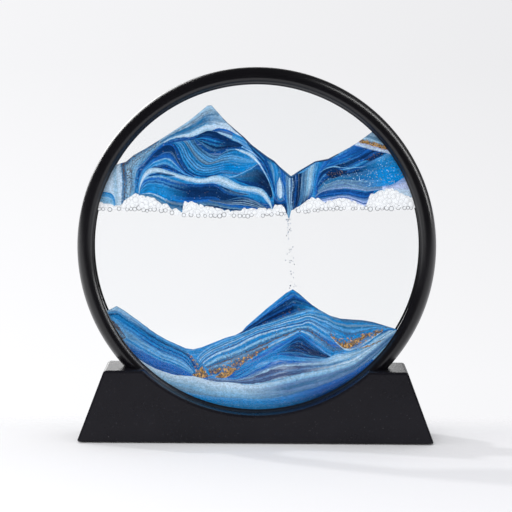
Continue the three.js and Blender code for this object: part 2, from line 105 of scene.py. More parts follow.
def spun_piece(name, points, steps, centre, axis):
    """Spins a closed section, given as points, once round an axis."""
    bpy.ops.object.select_all(action="DESELECT")
    bpy.ops.mesh.primitive_circle_add(vertices=len(points), radius=ring_radius, fill_type="NOTHING")
    piece = bpy.context.object
    piece.name = name
    for vertex, point in zip(piece.data.vertices, points):
        vertex.co = point
    bpy.ops.object.mode_set(mode="EDIT")
    bpy.ops.mesh.select_all(action="SELECT")
    bpy.ops.mesh.spin(steps=steps, angle=2 * math.pi, center=centre, axis=axis)
    bpy.ops.mesh.select_all(action="SELECT")
    bpy.ops.mesh.remove_doubles(threshold=MERGE_DISTANCE)
    bpy.ops.mesh.delete_loose(use_verts=True, use_edges=True, use_faces=False)
    bpy.ops.mesh.select_all(action="SELECT")
    bpy.ops.mesh.normals_make_consistent(inside=False)
    bpy.ops.object.mode_set(mode="OBJECT")
    bpy.ops.object.shade_smooth_by_angle(angle=TURNED_SMOOTH)
    return piece


def turned_piece(name, section, steps=RING_STEPS):
    """Spins a section of (radius, depth) points round the ring's axis."""
    points = [(radius, depth, ring_height) for radius, depth in section]
    return spun_piece(name, points, steps, (0, 0, ring_height), (0, 1, 0))


def apply_modifier(piece, kind, **settings):
    """Gives the piece one modifier with these settings and applies it."""
    bpy.ops.object.select_all(action="DESELECT")
    piece.select_set(True)
    bpy.context.view_layer.objects.active = piece
    modifier = piece.modifiers.new(kind.lower(), kind)
    for setting, value in settings.items():
        setattr(modifier, setting, value)
    bpy.ops.object.modifier_apply(modifier=modifier.name)


bpy.ops.object.select_all(action="DESELECT")
bpy.ops.mesh.primitive_cube_add(size=1, location=(shell_low + shell_high) / 2, scale=shell_size)
bpy.ops.object.transform_apply()
moulded_base = bpy.context.object
moulded_base.name = "moulded_base"
top_share = (shell_size.x - 2 * BASE_END_RUN) / shell_size.x
pick_faces(moulded_base, lambda face: face.normal.z > FLAT_NORMAL)
bpy.ops.transform.resize(value=(top_share, 1, 1), center_override=(0, 0, shell_high.z))
bpy.ops.object.mode_set(mode="OBJECT")
pick_faces(moulded_base, lambda face: face.normal.z < -FLAT_NORMAL)
bpy.ops.mesh.inset(thickness=COVER_WALL)
bpy.ops.mesh.extrude_region_move(TRANSFORM_OT_translate={"value": (0, 0, COVER_RECESS)})
bpy.ops.object.mode_set(mode="OBJECT")
apply_modifier(moulded_base, "BEVEL", width=BASE_EDGE_RADIUS, segments=4, limit_method="ANGLE")

saddle_radius = ring_radius - SADDLE_COVER
groove_angle = math.asin((crest_radius - saddle_radius) / (inner_sweep + RUNNING_CLEARANCE))
base_half_depth = shell_high.y
eased_edge = [
    (
        saddle_radius + SADDLE_EDGE_RADIUS * (1 - math.sin(angle)),
        base_half_depth - SADDLE_EDGE_RADIUS * (1 - math.cos(angle)),
    )
    for angle in [math.pi / 2 * step / FILLET_STEPS for step in range(FILLET_STEPS + 1)]
]
seat_half = [
    (0, base_half_depth + OVERCUT),
    (saddle_radius + SADDLE_EDGE_RADIUS, base_half_depth + OVERCUT),
    *eased_edge,
    *face_contour(groove_angle, RUNNING_CLEARANCE),
]
seat_front = [(radius, -depth) for radius, depth in seat_half]
seat_cutter = turned_piece("seat_cutter", seat_front + seat_half[-2::-1], 2 * RING_STEPS)
apply_modifier(moulded_base, "BOOLEAN", object=seat_cutter, operation="DIFFERENCE", solver="EXACT")
bpy.data.objects.remove(seat_cutter)
bpy.ops.object.shade_smooth_by_angle(angle=BASE_SMOOTH)
apply_modifier(moulded_base, "WEIGHTED_NORMAL", keep_sharp=True)


def new_material(name):
    """A node material and its tree and Principled shader."""
    material = bpy.data.materials.new(name)
    material.use_nodes = True
    return material, material.node_tree, material.node_tree.nodes["Principled BSDF"]


def add_node(tree, kind, settings=None, **inputs):
    """A shader node with its settings, and plain values on the sockets named by inputs."""
    made = tree.nodes.new("ShaderNode" + kind)
    for setting, value in (settings or {}).items():
        setattr(made, setting, value)
    for socket, value in inputs.items():
        made.inputs[socket.replace("_", " ")].default_value = value
    return made


def math_node(tree, operation, second=None):
    """A node that works one sum, with a fixed second number where one is given."""
    made = add_node(tree, "Math", {"operation": operation})
    if second is not None:
        made.inputs[1].default_value = second
    return made


def eased_range(tree, start, end, **inputs):
    """A node that eases from 0 at start to 1 at end, or between the To values that inputs names."""
    settings = {"interpolation_type": "SMOOTHSTEP"}
    return add_node(tree, "MapRange", settings, From_Min=start, From_Max=end, **inputs)


def wire(tree, links):
    """Joins nodes, with each link given as (node, its output, node, its input)."""
    for source, output, target, entry in links:
        tree.links.new(source.outputs[output], target.inputs[entry])


SCREEN_WHITE = 255
SCREEN_TOE_END = 0.04045
SCREEN_TOE_SLOPE = 12.92
SCREEN_OFFSET = 0.055
SCREEN_POWER = 2.4


def display(red, green, blue):
    """A colour given as it looks on a screen, 0 to 255, as the linear colour that shaders take."""
    linear = []
    for value in (red, green, blue):
        share = value / SCREEN_WHITE
        curve = ((share + SCREEN_OFFSET) / (1 + SCREEN_OFFSET)) ** SCREEN_POWER
        linear.append(share / SCREEN_TOE_SLOPE if share <= SCREEN_TOE_END else curve)
    return (*linear, 1.0)


def ramp_stops(ramp, stops):
    """Sets a colour ramp's stops from (place, colour) pairs, which rise in place."""
    elements = ramp.color_ramp.elements
    while len(elements) > 1:
        elements.remove(elements[-1])
    elements[0].position, elements[0].color = stops[0]
    for place, colour in stops[1:]:
        elements.new(place).color = colour


def hazed_material(name, stops, **haze_inputs):
    """A material whose colour drifts between ramp stops as a noise does, with its tree, shader and noise."""
    material, tree, shader = new_material(name)
    place = add_node(tree, "TexCoord")
    haze = add_node(tree, "TexNoise", **haze_inputs)
    tone = add_node(tree, "ValToRGB")
    ramp_stops(tone, stops)
    wire(tree, [
        (place, "Object", haze, "Vector"),
        (haze, "Fac", tone, "Fac"),
        (tone, "Color", shader, "Base Color"),
    ])
    return material, tree, shader, haze


def give_group(name, inputs, outputs):
    """A new shader node group with float and colour sockets, and its input and output nodes."""
    group = bpy.data.node_groups.new(name, "ShaderNodeTree")
    for socket, kind in inputs:
        group.interface.new_socket(socket, in_out="INPUT", socket_type="NodeSocket" + kind)
    for socket, kind in outputs:
        group.interface.new_socket(socket, in_out="OUTPUT", socket_type="NodeSocket" + kind)
    return group, group.nodes.new("NodeGroupInput"), group.nodes.new("NodeGroupOutput")


# The moulded skin is shared by the base and its cover: pebbles as height, blotches, and painted glints as
# bright points.
moulded_skin, skin_in, skin_out = give_group(
    "moulded_skin",
    [("Pebble Scale", "Float")],
    [("Height", "Float"), ("Blotch", "Float"), ("Glint", "Float")],
)
skin_place = add_node(moulded_skin, "TexCoord")
skin_pebbles = add_node(moulded_skin, "TexVoronoi", {"feature": "SMOOTH_F1"}, Smoothness=0.7)
skin_blotches = add_node(moulded_skin, "TexNoise", Scale=38.0, Detail=5.0, Roughness=0.6)
skin_cells = add_node(moulded_skin, "SeparateColor")
# The brightest pebble cells are marked for painted glints, a highlight painted into the colour.
skin_painted_glint = add_node(moulded_skin, "MapRange", From_Min=0.955, From_Max=1.0)
for texture in (skin_pebbles, skin_blotches):
    wire(moulded_skin, [(skin_place, "Object", texture, "Vector")])
wire(moulded_skin, [
    (skin_in, "Pebble Scale", skin_pebbles, "Scale"),
    (skin_pebbles, "Color", skin_cells, "Color"),
    (skin_cells, "Red", skin_painted_glint, "Value"),
    (skin_pebbles, "Distance", skin_out, "Height"),
    (skin_blotches, "Fac", skin_out, "Blotch"),
    (skin_painted_glint, "Result", skin_out, "Glint"),
])


POLISH_SPREAD = 0.08


def pebbled_plastic(name, pebble_scale, dark, light, painted_glint, roughness):
    """Black moulded plastic with a pebbled skin, blotched between two shades and dotted with painted glints.
    """
    material, tree, shader = new_material(name)
    skin = add_node(tree, "Group", {"node_tree": moulded_skin}, Pebble_Scale=pebble_scale)
    shade = add_node(tree, "ValToRGB")
    ramp_stops(shade, [(0.3, dark), (0.7, light)])
    # Painted glints: a lighter colour on a few pebble cells stands in for the light that they catch.
    painted_glints = add_node(tree, "MixRGB", Color2=painted_glint)
    worn = add_node(
        tree, "MapRange", To_Min=roughness - POLISH_SPREAD, To_Max=roughness + POLISH_SPREAD
    )
    bump = add_node(tree, "Bump", Strength=0.35, Distance=0.00008)
    wire(tree, [
        (skin, "Blotch", shade, "Fac"),
        (skin, "Blotch", worn, "Value"),
        (skin, "Glint", painted_glints, "Fac"),
        (shade, "Color", painted_glints, "Color1"),
        (painted_glints, "Color", shader, "Base Color"),
        (worn, "Result", shader, "Roughness"),
        (skin, "Height", bump, "Height"),
        (bump, "Normal", shader, "Normal"),
    ])
    return material


base_plastic = pebbled_plastic(
    "base_plastic", pebble_scale=2300.0, dark=display(19, 18, 23), light=display(25, 24, 29),
    painted_glint=display(60, 59, 63), roughness=0.28,
)
base_plastic.node_tree.nodes["Principled BSDF"].inputs["Specular IOR Level"].default_value = 0.16
moulded_base.data.materials.append(base_plastic)
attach(moulded_base, "base")
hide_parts("base_shell")


# Base cover: a flat black plate that closes the moulding from below, let in flush and held by four screws.
# It keeps the solid's own shape, with its countersinks and pad recesses.
cover_plastic = pebbled_plastic(
    "cover_plastic", pebble_scale=1500.0, dark=display(22, 22, 24), light=display(30, 30, 33),
    painted_glint=display(70, 70, 74), roughness=0.58,
)
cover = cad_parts["base_plate"]
cover.data.materials.clear()
cover.data.materials.append(cover_plastic)


# Cover screws: four countersunk steel screws with a cross recess, cold headed and plated with zinc.
# They are driven up through the cover into the base's bosses.
SCREW_TIP_LENGTH = 0.0015
SCREW_HEAD_RIM = 0.0003
SCREW_SHANK_RADIUS = 0.00145
CROSS_LENGTH = 0.0034
CROSS_WIDTH = 0.0007
CROSS_DEPTH = 0.0011
CROSS_TAPER = 0.45
SCREW_RIM_SHARE = 0.94
SCREW_COUNT = 4

screw_zinc, screw_tree, screw_shader, screw_streaks = hazed_material(
    "screw_zinc", [(0.35, display(150, 152, 156)), (0.65, display(196, 197, 200))], Scale=900.0, Detail=4.0
)
screw_polish = add_node(screw_tree, "MapRange", To_Min=0.22, To_Max=0.42)
screw_shader.inputs["Metallic"].default_value = 1.0
wire(screw_tree, [
    (screw_streaks, "Fac", screw_polish, "Value"),
    (screw_polish, "Result", screw_shader, "Roughness"),
])


def upright_turned(name, section, x, y, steps=48):
    """Spins a section of (radius, height) points round an upright axis."""
    points = [(x + radius, y, height) for radius, height in section]
    return spun_piece(name, points, steps, (x, y, 0), (0, 0, 1))


def cross_cutter(x, y, bottom):
    """Two crossed bars, tapered upwards, that press the recess into a screw's head."""
    bars = []
    for size in ((CROSS_LENGTH, CROSS_WIDTH), (CROSS_WIDTH, CROSS_LENGTH)):
        bpy.ops.object.select_all(action="DESELECT")
        bpy.ops.mesh.primitive_cube_add(
            size=1, location=(x, y, bottom), scale=(*size, 2 * CROSS_DEPTH)
        )
        bpy.ops.object.transform_apply()
        bar = bpy.context.object
        pick_faces(bar, lambda face: face.normal.z > FLAT_NORMAL)
        bpy.ops.transform.resize(value=(CROSS_TAPER, CROSS_TAPER, 1), center_override=(x, y, bottom))
        bpy.ops.object.mode_set(mode="OBJECT")
        bars.append(bar)
    apply_modifier(bars[0], "BOOLEAN", object=bars[1], operation="UNION", solver="EXACT")
    bpy.data.objects.remove(bars[1])
    return bars[0]


for number in range(1, SCREW_COUNT + 1):
    node_name = f"base_screw_{number}"
    screw_low, screw_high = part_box(node_name)
    screw_x = (screw_low.x + screw_high.x) / 2
    screw_y = (screw_low.y + screw_high.y) / 2
    head_radius = (screw_high.x - screw_low.x) / 2
    rim_top = screw_low.z + SCREW_HEAD_RIM
    cover_screw = upright_turned(
        f"cover_screw_{number}",
        [
            (0, screw_low.z),
            (head_radius * SCREW_RIM_SHARE, screw_low.z),
            (head_radius, screw_low.z + SCREW_HEAD_RIM / 2),
            (head_radius, rim_top),
            (SCREW_SHANK_RADIUS, rim_top + head_radius - SCREW_SHANK_RADIUS),
            (SCREW_SHANK_RADIUS, screw_high.z - SCREW_TIP_LENGTH),
            (0, screw_high.z),
        ],
        screw_x,
        screw_y,
    )
    cross = cross_cutter(screw_x, screw_y, screw_low.z)
    apply_modifier(cover_screw, "BOOLEAN", object=cross, operation="DIFFERENCE", solver="EXACT")
    bpy.data.objects.remove(cross)
    cover_screw.data.materials.clear()
    cover_screw.data.materials.append(screw_zinc)
    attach(cover_screw, "base")
    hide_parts(node_name)


# Foot pads: four soft black foam discs, punched from sheet, that the base stands on.
# They are stuck into the cover's round recesses.
PAD_EDGE = 0.0003
PAD_COUNT = 4

pad_foam, pad_tree, pad_shader = new_material("pad_foam")
pad_place = add_node(pad_tree, "TexCoord")
pad_cells = add_node(pad_tree, "TexVoronoi", Scale=2600.0)
pad_tone = add_node(pad_tree, "ValToRGB")
ramp_stops(pad_tone, [(0.1, display(34, 34, 35)), (0.6, display(16, 16, 17))])
pad_bump = add_node(pad_tree, "Bump", Strength=0.6, Distance=0.0001)
pad_shader.inputs["Roughness"].default_value = 0.92
wire(pad_tree, [
    (pad_place, "Object", pad_cells, "Vector"),
    (pad_cells, "Distance", pad_tone, "Fac"),
    (pad_cells, "Distance", pad_bump, "Height"),
    (pad_tone, "Color", pad_shader, "Base Color"),
    (pad_bump, "Normal", pad_shader, "Normal"),
])

for number in range(1, PAD_COUNT + 1):
    node_name = f"foot_pad_{number}"
    pad_low, pad_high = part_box(node_name)
    pad_radius = (pad_high.x - pad_low.x) / 2
    foam_pad = upright_turned(
        f"foam_pad_{number}",
        [
            (0, pad_low.z),
            (pad_radius - PAD_EDGE, pad_low.z),
            (pad_radius, pad_low.z + PAD_EDGE),
            (pad_radius, pad_high.z),
            (0, pad_high.z),
        ],
        (pad_low.x + pad_high.x) / 2,
        (pad_low.y + pad_high.y) / 2,
    )
    foam_pad.data.materials.append(pad_foam)
    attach(foam_pad, "base")
    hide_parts(node_name)


# Bezels: the front and rear halves of the black ring, moulded in satin plastic and pressed together.
# Each has an oval face, a lip over its pane and a pocket for the cell, and a hair seam shows between them.
RIM_WALL = 0.0023
LIP_BACK = 0.0055
HALF_SEAM = 0.00003

ring_plastic, ring_tree, ring_shader, ring_haze = hazed_material(
    "ring_plastic", [(0.3, display(11, 10, 14)), (0.7, display(16, 15, 19))], Scale=60.0, Detail=2.0
)
ring_polish = add_node(ring_tree, "MapRange", To_Min=0.26, To_Max=0.32)
ring_place = add_node(ring_tree, "TexCoord")
ring_ripple = add_node(ring_tree, "TexNoise", Scale=150.0, Detail=1.0)
ring_bump = add_node(ring_tree, "Bump", Strength=0.003, Distance=0.0002)
wire(ring_tree, [
    (ring_haze, "Fac", ring_polish, "Value"),
    (ring_polish, "Result", ring_shader, "Roughness"),
    (ring_place, "Object", ring_ripple, "Vector"),
    (ring_ripple, "Fac", ring_bump, "Height"),
    (ring_bump, "Normal", ring_shader, "Normal"),
])

FACE_CREST_SETBACK = 0.0045
RIM_SWELL = 0.00022
LIP_SLANT = 0.0003
face_crest = ring_radius - FACE_CREST_SETBACK
oval_outer = section_arc(face_crest, FACE_CREST_SETBACK + RIM_SWELL, ring_half_depth, 0, math.pi / 2)
INNER_FACE_SWEEP = 0.0042
oval_inner = section_arc(face_crest, INNER_FACE_SWEEP, ring_half_depth, -lip_angle, 0)
bezel_section = [
    (window_radius, LIP_BACK),
    (window_radius + LIP_SLANT, LIP_FRONT - LIP_SLANT),
    *oval_inner,
    *oval_outer[1:-1],
    (ring_radius + RIM_SWELL, HALF_SEAM),
    (ring_radius - RIM_WALL, HALF_SEAM),
    (ring_radius - RIM_WALL, LIP_BACK),
]
for side, name, node_name in ((-1, "ring_front", "front_bezel"), (1, "ring_rear", "rear_bezel")):
    bezel = turned_piece(name, [(radius, side * depth) for radius, depth in bezel_section])
    bezel.data.materials.append(ring_plastic)
    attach(bezel, "ring")
    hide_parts(node_name)


# Seals, spacer and plug: the soft black rings under the lips, the ring that sets the gap between the
# panes, and the rubber plug in its filling port. They hide behind the lips and show only as a dark line.
pane_low, pane_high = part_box("front_glass")
pane_radius = (pane_high.x - pane_low.x) / 2
pane_outer_face = -pane_low.y
pane_inner_face = -pane_high.y
SEAL_SETBACK = 0.0005
SEAL_EDGE_SETBACK = 0.0006
SPACER_SETBACK = 0.0008
SPACER_EDGE_SETBACK = 0.0016


def soft_black(name, dark, light, roughness):
    """Black rubber or plastic with a fine dusty bloom between two shades."""
    stops = [(0.35, dark), (0.7, light)]
    material, tree, shader, bloom = hazed_material(name, stops, Scale=800.0, Detail=4.0)
    bump = add_node(tree, "Bump", Strength=0.2, Distance=0.00005)
    shader.inputs["Roughness"].default_value = roughness
    wire(tree, [
        (bloom, "Fac", bump, "Height"),
        (bump, "Normal", shader, "Normal"),
    ])
    return material


def ring_block(inner, outer, front, back, edge=0.0001):
    """A flat ring's section with its corners just broken."""
    return [
        (inner + edge, front), (outer - edge, front), (outer, front + edge), (outer, back - edge),
        (outer - edge, back), (inner + edge, back), (inner, back - edge), (inner, front + edge),
    ]


seal_rubber = soft_black("seal_rubber", display(14, 14, 15), display(26, 26, 27), roughness=0.75)
spacer_plastic = soft_black("spacer_plastic", display(15, 15, 17), display(24, 24, 26), roughness=0.6)
seal_section = ring_block(
    window_radius + SEAL_SETBACK, pane_radius - SEAL_EDGE_SETBACK, pane_outer_face, LIP_BACK
)
for side, name, node_name in ((-1, "seal_ring_front", "front_seal"), (1, "seal_ring_rear", "rear_seal")):
    seal = turned_piece(name, [(radius, side * depth) for radius, depth in seal_section])
    seal.data.materials.append(seal_rubber)
    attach(seal, "ring")
    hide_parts(node_name)
cell_radius = window_radius + SPACER_SETBACK
spacer = turned_piece("cell_spacer", ring_block(
    cell_radius, pane_radius - SPACER_EDGE_SETBACK, -pane_inner_face, pane_inner_face
))
spacer.data.materials.append(spacer_plastic)
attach(spacer, "ring")
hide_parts("spacer_ring")
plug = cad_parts["fill_plug"]
plug.data.materials.clear()
plug.data.materials.append(seal_rubber)


# Panes: two discs of clear float glass with ground edges, clamped on the spacer by the bezels.
# They cast no shadow of their own, as clear glass hardly does.
PANE_CHAMFER = 0.0004

pane_glass, pane_tree, pane_shader, pane_film = hazed_material(
    "pane_glass", [(0.3, (0.994, 0.998, 0.997, 1)), (0.7, (0.999, 1, 1, 1))], Scale=24.0, Detail=5.0
)
pane_polish = add_node(pane_tree, "MapRange", To_Min=0.0, To_Max=0.012)
pane_shader.inputs["Transmission Weight"].default_value = 1.0
pane_shader.inputs["IOR"].default_value = 1.22
wire(pane_tree, [
    (pane_film, "Fac", pane_polish, "Value"),
    (pane_polish, "Result", pane_shader, "Roughness"),
])

pane_section = [
    (0, pane_inner_face),
    (pane_radius - PANE_CHAMFER, pane_inner_face),
    (pane_radius, pane_inner_face + PANE_CHAMFER),
    (pane_radius, pane_outer_face - PANE_CHAMFER),
    (pane_radius - PANE_CHAMFER, pane_outer_face),
    (0, pane_outer_face),
]
for side, name, node_name in ((-1, "pane_front", "front_glass"), (1, "pane_rear", "rear_glass")):
    pane = turned_piece(name, [(radius, side * depth) for radius, depth in pane_section])
    pane.data.materials.append(pane_glass)
    pane.visible_shadow = False
    pane.visible_diffuse = False
    pane.visible_glossy = False
    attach(pane, "ring")
    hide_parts(node_name)


# Clear liquid: a water-like filling that takes up the whole cell round the sand and the bubbles.
# It is all but invisible, with the faintest cool tint.
FILL_CLEARANCE = 0.00025
LIQUID_HALF_DEPTH = 0.00192

clear_liquid, _, liquid_shader, _ = hazed_material(
    "clear_liquid", [(0.3, (0.985, 0.993, 1.0, 1)), (0.7, (0.995, 0.998, 1.0, 1))], Scale=9.0, Detail=2.0
)
liquid_shader.inputs["Transmission Weight"].default_value = 1.0
liquid_shader.inputs["IOR"].default_value = 1.01
liquid_shader.inputs["Roughness"].default_value = 0.0

fill_radius = cell_radius - FILL_CLEARANCE
liquid = turned_piece("cell_liquid", [
    (0, -LIQUID_HALF_DEPTH), (fill_radius, -LIQUID_HALF_DEPTH),
    (fill_radius, LIQUID_HALF_DEPTH), (0, LIQUID_HALF_DEPTH),
])
liquid.data.materials.append(clear_liquid)
liquid.visible_shadow = False
liquid.visible_diffuse = False
liquid.visible_glossy = False
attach(liquid, "ring")
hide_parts("upper_liquid", "lower_liquid")


# Upper sand: a bank of dyed quartz sand that lies on the bubbles, laid down in streaks as it was poured.
# Each streak is a flat layer that fills the gap between the panes, from one of its edges to the other.
# Edges are given as (x, z) in millimetres from the ring's middle, as seen through the front pane.
MM = 0.001
SAND_HALF_DEPTH = 0.00175
LAYER_STEP = 0.000007
COLUMN_WIDTH_MM = 0.45
LAYER_ROWS = 8
CLIP_SAMPLES = 97
CLIP_ROUNDS = 12
LEAST_COLUMNS = 12
CURVE_STEPS = 16
SMALLEST_STEP = 1e-6
LAYER_MERGE = 1e-5
LAYER_SMOOTH = math.radians(40)
TOP_SEED = 0.5
BOTTOM_SEED = 4.5
STREAK_SEED_STEP = 3.7
EDGE_WAVER_MM = 0.22
SLOW_WAVE = 0.35
QUICK_WAVE = 1.7
QUICK_SHARE = 0.4
QUICK_SEED_STEP = 9.0
fill_radius_mm = fill_radius / MM

SAND_DYES = {
    "white": display(184, 208, 229),
    "frost": display(152, 188, 215),
    "pale": display(118, 171, 209),
    "sky": display(74, 148, 206),
    "azure": display(30, 126, 192),
    "bright": display(8, 132, 209),
    "royal": display(26, 94, 176),
    "cobalt": display(18, 72, 140),
    "navy": display(10, 46, 92),
    "ink": display(9, 34, 72),
    "teal": display(36, 108, 160),
    "steel": display(98, 138, 170),
    "slate": display(56, 104, 148),
    "mauve": display(88, 124, 170),
    "lavender": display(132, 160, 212),
    "lilac": display(178, 192, 229),
    "dusk": display(60, 78, 120),
    "brown": display(92, 84, 86),
    "gold": display(186, 144, 84),
}

# The streaks are shared by all the sand: threads drawn out along a layer fray the edges of its bands,
# and fine even lines run between them.
THREAD_SWAY = 2.2
LINE_BEND = 2.4
LINE_FOLD = 0.5
TWO_NOISE_MIDDLES = 1.0
sand_streaks, streaks_in, streaks_out = give_group(
    "sand_streaks",
    [("Along", "Float"), ("Across", "Float"), ("Along Scale", "Float"), ("Across Scale", "Float"),
     ("Seed", "Float"), ("Waver", "Float"), ("Lines", "Float")],
    [("Across", "Float"), ("Line", "Float"), ("Thread", "Float")],
)
streak_place = add_node(sand_streaks, "TexCoord")
streak_sway = add_node(sand_streaks, "TexNoise", Scale=110.0, Detail=2.0)
streak_fray = add_node(sand_streaks, "TexNoise", Scale=1300.0, Detail=2.0)
streak_bend = add_node(sand_streaks, "TexNoise", Scale=70.0, Detail=2.0)
thread_along = math_node(sand_streaks, "MULTIPLY")
thread_across = math_node(sand_streaks, "MULTIPLY")
thread_swayed = math_node(sand_streaks, "MULTIPLY_ADD", THREAD_SWAY)
thread_place = add_node(sand_streaks, "CombineXYZ")
thread_noise = add_node(sand_streaks, "TexNoise", Scale=1.0, Detail=2.0, Roughness=0.5)
streak_both = math_node(sand_streaks, "ADD")
streak_middle = math_node(sand_streaks, "SUBTRACT", TWO_NOISE_MIDDLES)
streak_moved = math_node(sand_streaks, "MULTIPLY_ADD")
streak_bent = math_node(sand_streaks, "MULTIPLY", LINE_BEND)
streak_phase = math_node(sand_streaks, "MULTIPLY_ADD")
streak_fold = math_node(sand_streaks, "PINGPONG", LINE_FOLD)
streak_edge = eased_range(sand_streaks, start=0.26, end=0.06)
streak_gap = add_node(sand_streaks, "MapRange", From_Min=0.3, From_Max=0.48)
streak_line = math_node(sand_streaks, "MULTIPLY")
for texture in (streak_sway, streak_fray, streak_bend):
    wire(sand_streaks, [(streak_place, "Object", texture, "Vector")])
wire(sand_streaks, [
    (streaks_in, "Along", thread_along, 0),
    (streaks_in, "Along Scale", thread_along, 1),
    (streaks_in, "Across", thread_across, 0),
    (streaks_in, "Across Scale", thread_across, 1),
    (streak_sway, "Fac", thread_swayed, 0),
    (thread_across, 0, thread_swayed, 2),
    (thread_along, 0, thread_place, "X"),
    (thread_swayed, 0, thread_place, "Y"),
    (streaks_in, "Seed", thread_place, "Z"),
    (thread_place, "Vector", thread_noise, "Vector"),
    (thread_noise, "Fac", streak_both, 0),
    (streak_fray, "Fac", streak_both, 1),
    (streak_both, 0, streak_middle, 0),
    (streak_middle, 0, streak_moved, 0),
    (streaks_in, "Waver", streak_moved, 1),
    (streaks_in, "Across", streak_moved, 2),
    (streak_moved, 0, streak_phase, 0),
    (streaks_in, "Lines", streak_phase, 1),
    (streak_bend, "Fac", streak_bent, 0),
    (streak_bent, 0, streak_phase, 2),
    (streak_phase, 0, streak_fold, 0),
    (streak_fold, 0, streak_edge, "Value"),
    (streak_sway, "Fac", streak_gap, "Value"),
    (streak_edge, "Result", streak_line, 0),
    (streak_gap, "Result", streak_line, 1),
    (streak_moved, 0, streaks_out, "Across"),
    (streak_line, 0, streaks_out, "Line"),
    (thread_noise, "Fac", streaks_out, "Thread"),
])

# The grains are shared too: each cell is one grain with its own shade, some are flecks of another sand,
# and a few carry a painted glint of white. Sparse larger specks lie over them, light and dark.
LIGHT_SPECKS_FROM = 0.93
DARK_SPECKS_FROM = 0.9
SPECK_STRENGTH = 0.12
sand_grains, grains_in, grains_out = give_group(
    "sand_grains",
    [("Tone", "Color"), ("Fleck Share", "Float"), ("Fleck Colour", "Color"), ("Grain Scale", "Float")],
    [("Color", "Color"), ("Height", "Float")],
)
grain_place = add_node(sand_grains, "TexCoord")
grain_cells = add_node(sand_grains, "TexVoronoi")
grain_parts = add_node(sand_grains, "SeparateColor")
grain_clumps = add_node(sand_grains, "TexNoise", Scale=420.0, Detail=4.0, Roughness=0.65)
grain_shade = add_node(sand_grains, "MapRange", To_Min=0.74, To_Max=1.22)
clump_shade = add_node(sand_grains, "MapRange", From_Min=0.25, From_Max=0.75, To_Min=0.84, To_Max=1.14)
grain_both = math_node(sand_grains, "MULTIPLY")
grain_toned = add_node(sand_grains, "MixRGB", {"blend_type": "MULTIPLY"}, Fac=1.0)
grain_is_fleck = math_node(sand_grains, "LESS_THAN")
grain_flecked = add_node(sand_grains, "MixRGB")
fleck_shade = add_node(sand_grains, "MapRange", To_Min=0.25, To_Max=1.25)
fleck_toned = add_node(sand_grains, "MixRGB", {"blend_type": "MULTIPLY"}, Fac=1.0)
# A few grains get white mixed in, which is a painted glint.
grain_painted_glint = add_node(sand_grains, "MapRange", From_Min=0.985, From_Max=1.0, To_Max=0.14)
grain_glinted = add_node(sand_grains, "MixRGB", Color2=(1, 1, 1, 1))
speck_cells = add_node(sand_grains, "TexVoronoi", Scale=1150.0)
speck_parts = add_node(sand_grains, "SeparateColor")
speck_dot = add_node(sand_grains, "MapRange", From_Min=0.42, From_Max=0.26)
speck_light = math_node(sand_grains, "GREATER_THAN", LIGHT_SPECKS_FROM)
speck_dark = math_node(sand_grains, "GREATER_THAN", DARK_SPECKS_FROM)
light_share = math_node(sand_grains, "MULTIPLY")
dark_share = math_node(sand_grains, "MULTIPLY")
light_soft = math_node(sand_grains, "MULTIPLY", SPECK_STRENGTH)
dark_soft = math_node(sand_grains, "MULTIPLY", SPECK_STRENGTH)
lit_specks = add_node(sand_grains, "MixRGB", Color2=display(150, 198, 236))
dull_specks = add_node(sand_grains, "MixRGB", Color2=display(12, 34, 66))
wire(sand_grains, [
    (grain_place, "Object", grain_cells, "Vector"),
    (grain_place, "Object", grain_clumps, "Vector"),
    (grains_in, "Grain Scale", grain_cells, "Scale"),
    (grain_cells, "Color", grain_parts, "Color"),
    (grain_parts, "Red", grain_shade, "Value"),
    (grain_clumps, "Fac", clump_shade, "Value"),
    (grain_shade, "Result", grain_both, 0),
    (clump_shade, "Result", grain_both, 1),
    (grains_in, "Tone", grain_flecked, "Color1"),
    (grain_parts, "Blue", fleck_shade, "Value"),
    (grains_in, "Fleck Colour", fleck_toned, "Color1"),
    (fleck_shade, "Result", fleck_toned, "Color2"),
    (fleck_toned, "Color", grain_flecked, "Color2"),
    (grain_parts, "Green", grain_is_fleck, 0),
    (grains_in, "Fleck Share", grain_is_fleck, 1),
    (grain_is_fleck, 0, grain_flecked, "Fac"),
    (grain_flecked, "Color", grain_toned, "Color1"),
    (grain_both, 0, grain_toned, "Color2"),
    (grain_parts, "Blue", grain_painted_glint, "Value"),
    (grain_painted_glint, "Result", grain_glinted, "Fac"),
    (grain_toned, "Color", grain_glinted, "Color1"),
    (grain_place, "Object", speck_cells, "Vector"),
    (speck_cells, "Color", speck_parts, "Color"),
    (speck_cells, "Distance", speck_dot, "Value"),
    (speck_parts, "Red", speck_light, 0),
    (speck_parts, "Green", speck_dark, 0),
    (speck_light, 0, light_share, 0),
    (speck_dot, "Result", light_share, 1),
    (speck_dark, 0, dark_share, 0),
    (speck_dot, "Result", dark_share, 1),
    (light_share, 0, light_soft, 0),
    (dark_share, 0, dark_soft, 0),
    (light_soft, 0, lit_specks, "Fac"),
    (dark_soft, 0, dull_specks, "Fac"),
    (grain_glinted, "Color", lit_specks, "Color1"),
    (lit_specks, "Color", dull_specks, "Color1"),
    (dull_specks, "Color", grains_out, "Color"),
    (grain_cells, "Distance", grains_out, "Height"),
])


def band_stops(bands, softness):
    """Ramp stops for bands of (start, dye), each plain but for a soft change to the next one."""
    stops = []
    starts = [start for start, dye in bands] + [1.0]
    for (start, dye), end in zip(bands, starts[1:]):
        soft = min(softness, (end - start) / 3)
        stops.append((start + soft, SAND_DYES[dye]))
        stops.append((end - soft, SAND_DYES[dye]))
    return stops


THREAD_LENGTH_MM = 15.0
THREAD_WIDTH_MM = 0.85
THREAD_STARTS = (0.46, 0.55)
THREAD_PEAKS = (0.33, 0.68)
LINE_FADE = 0.3


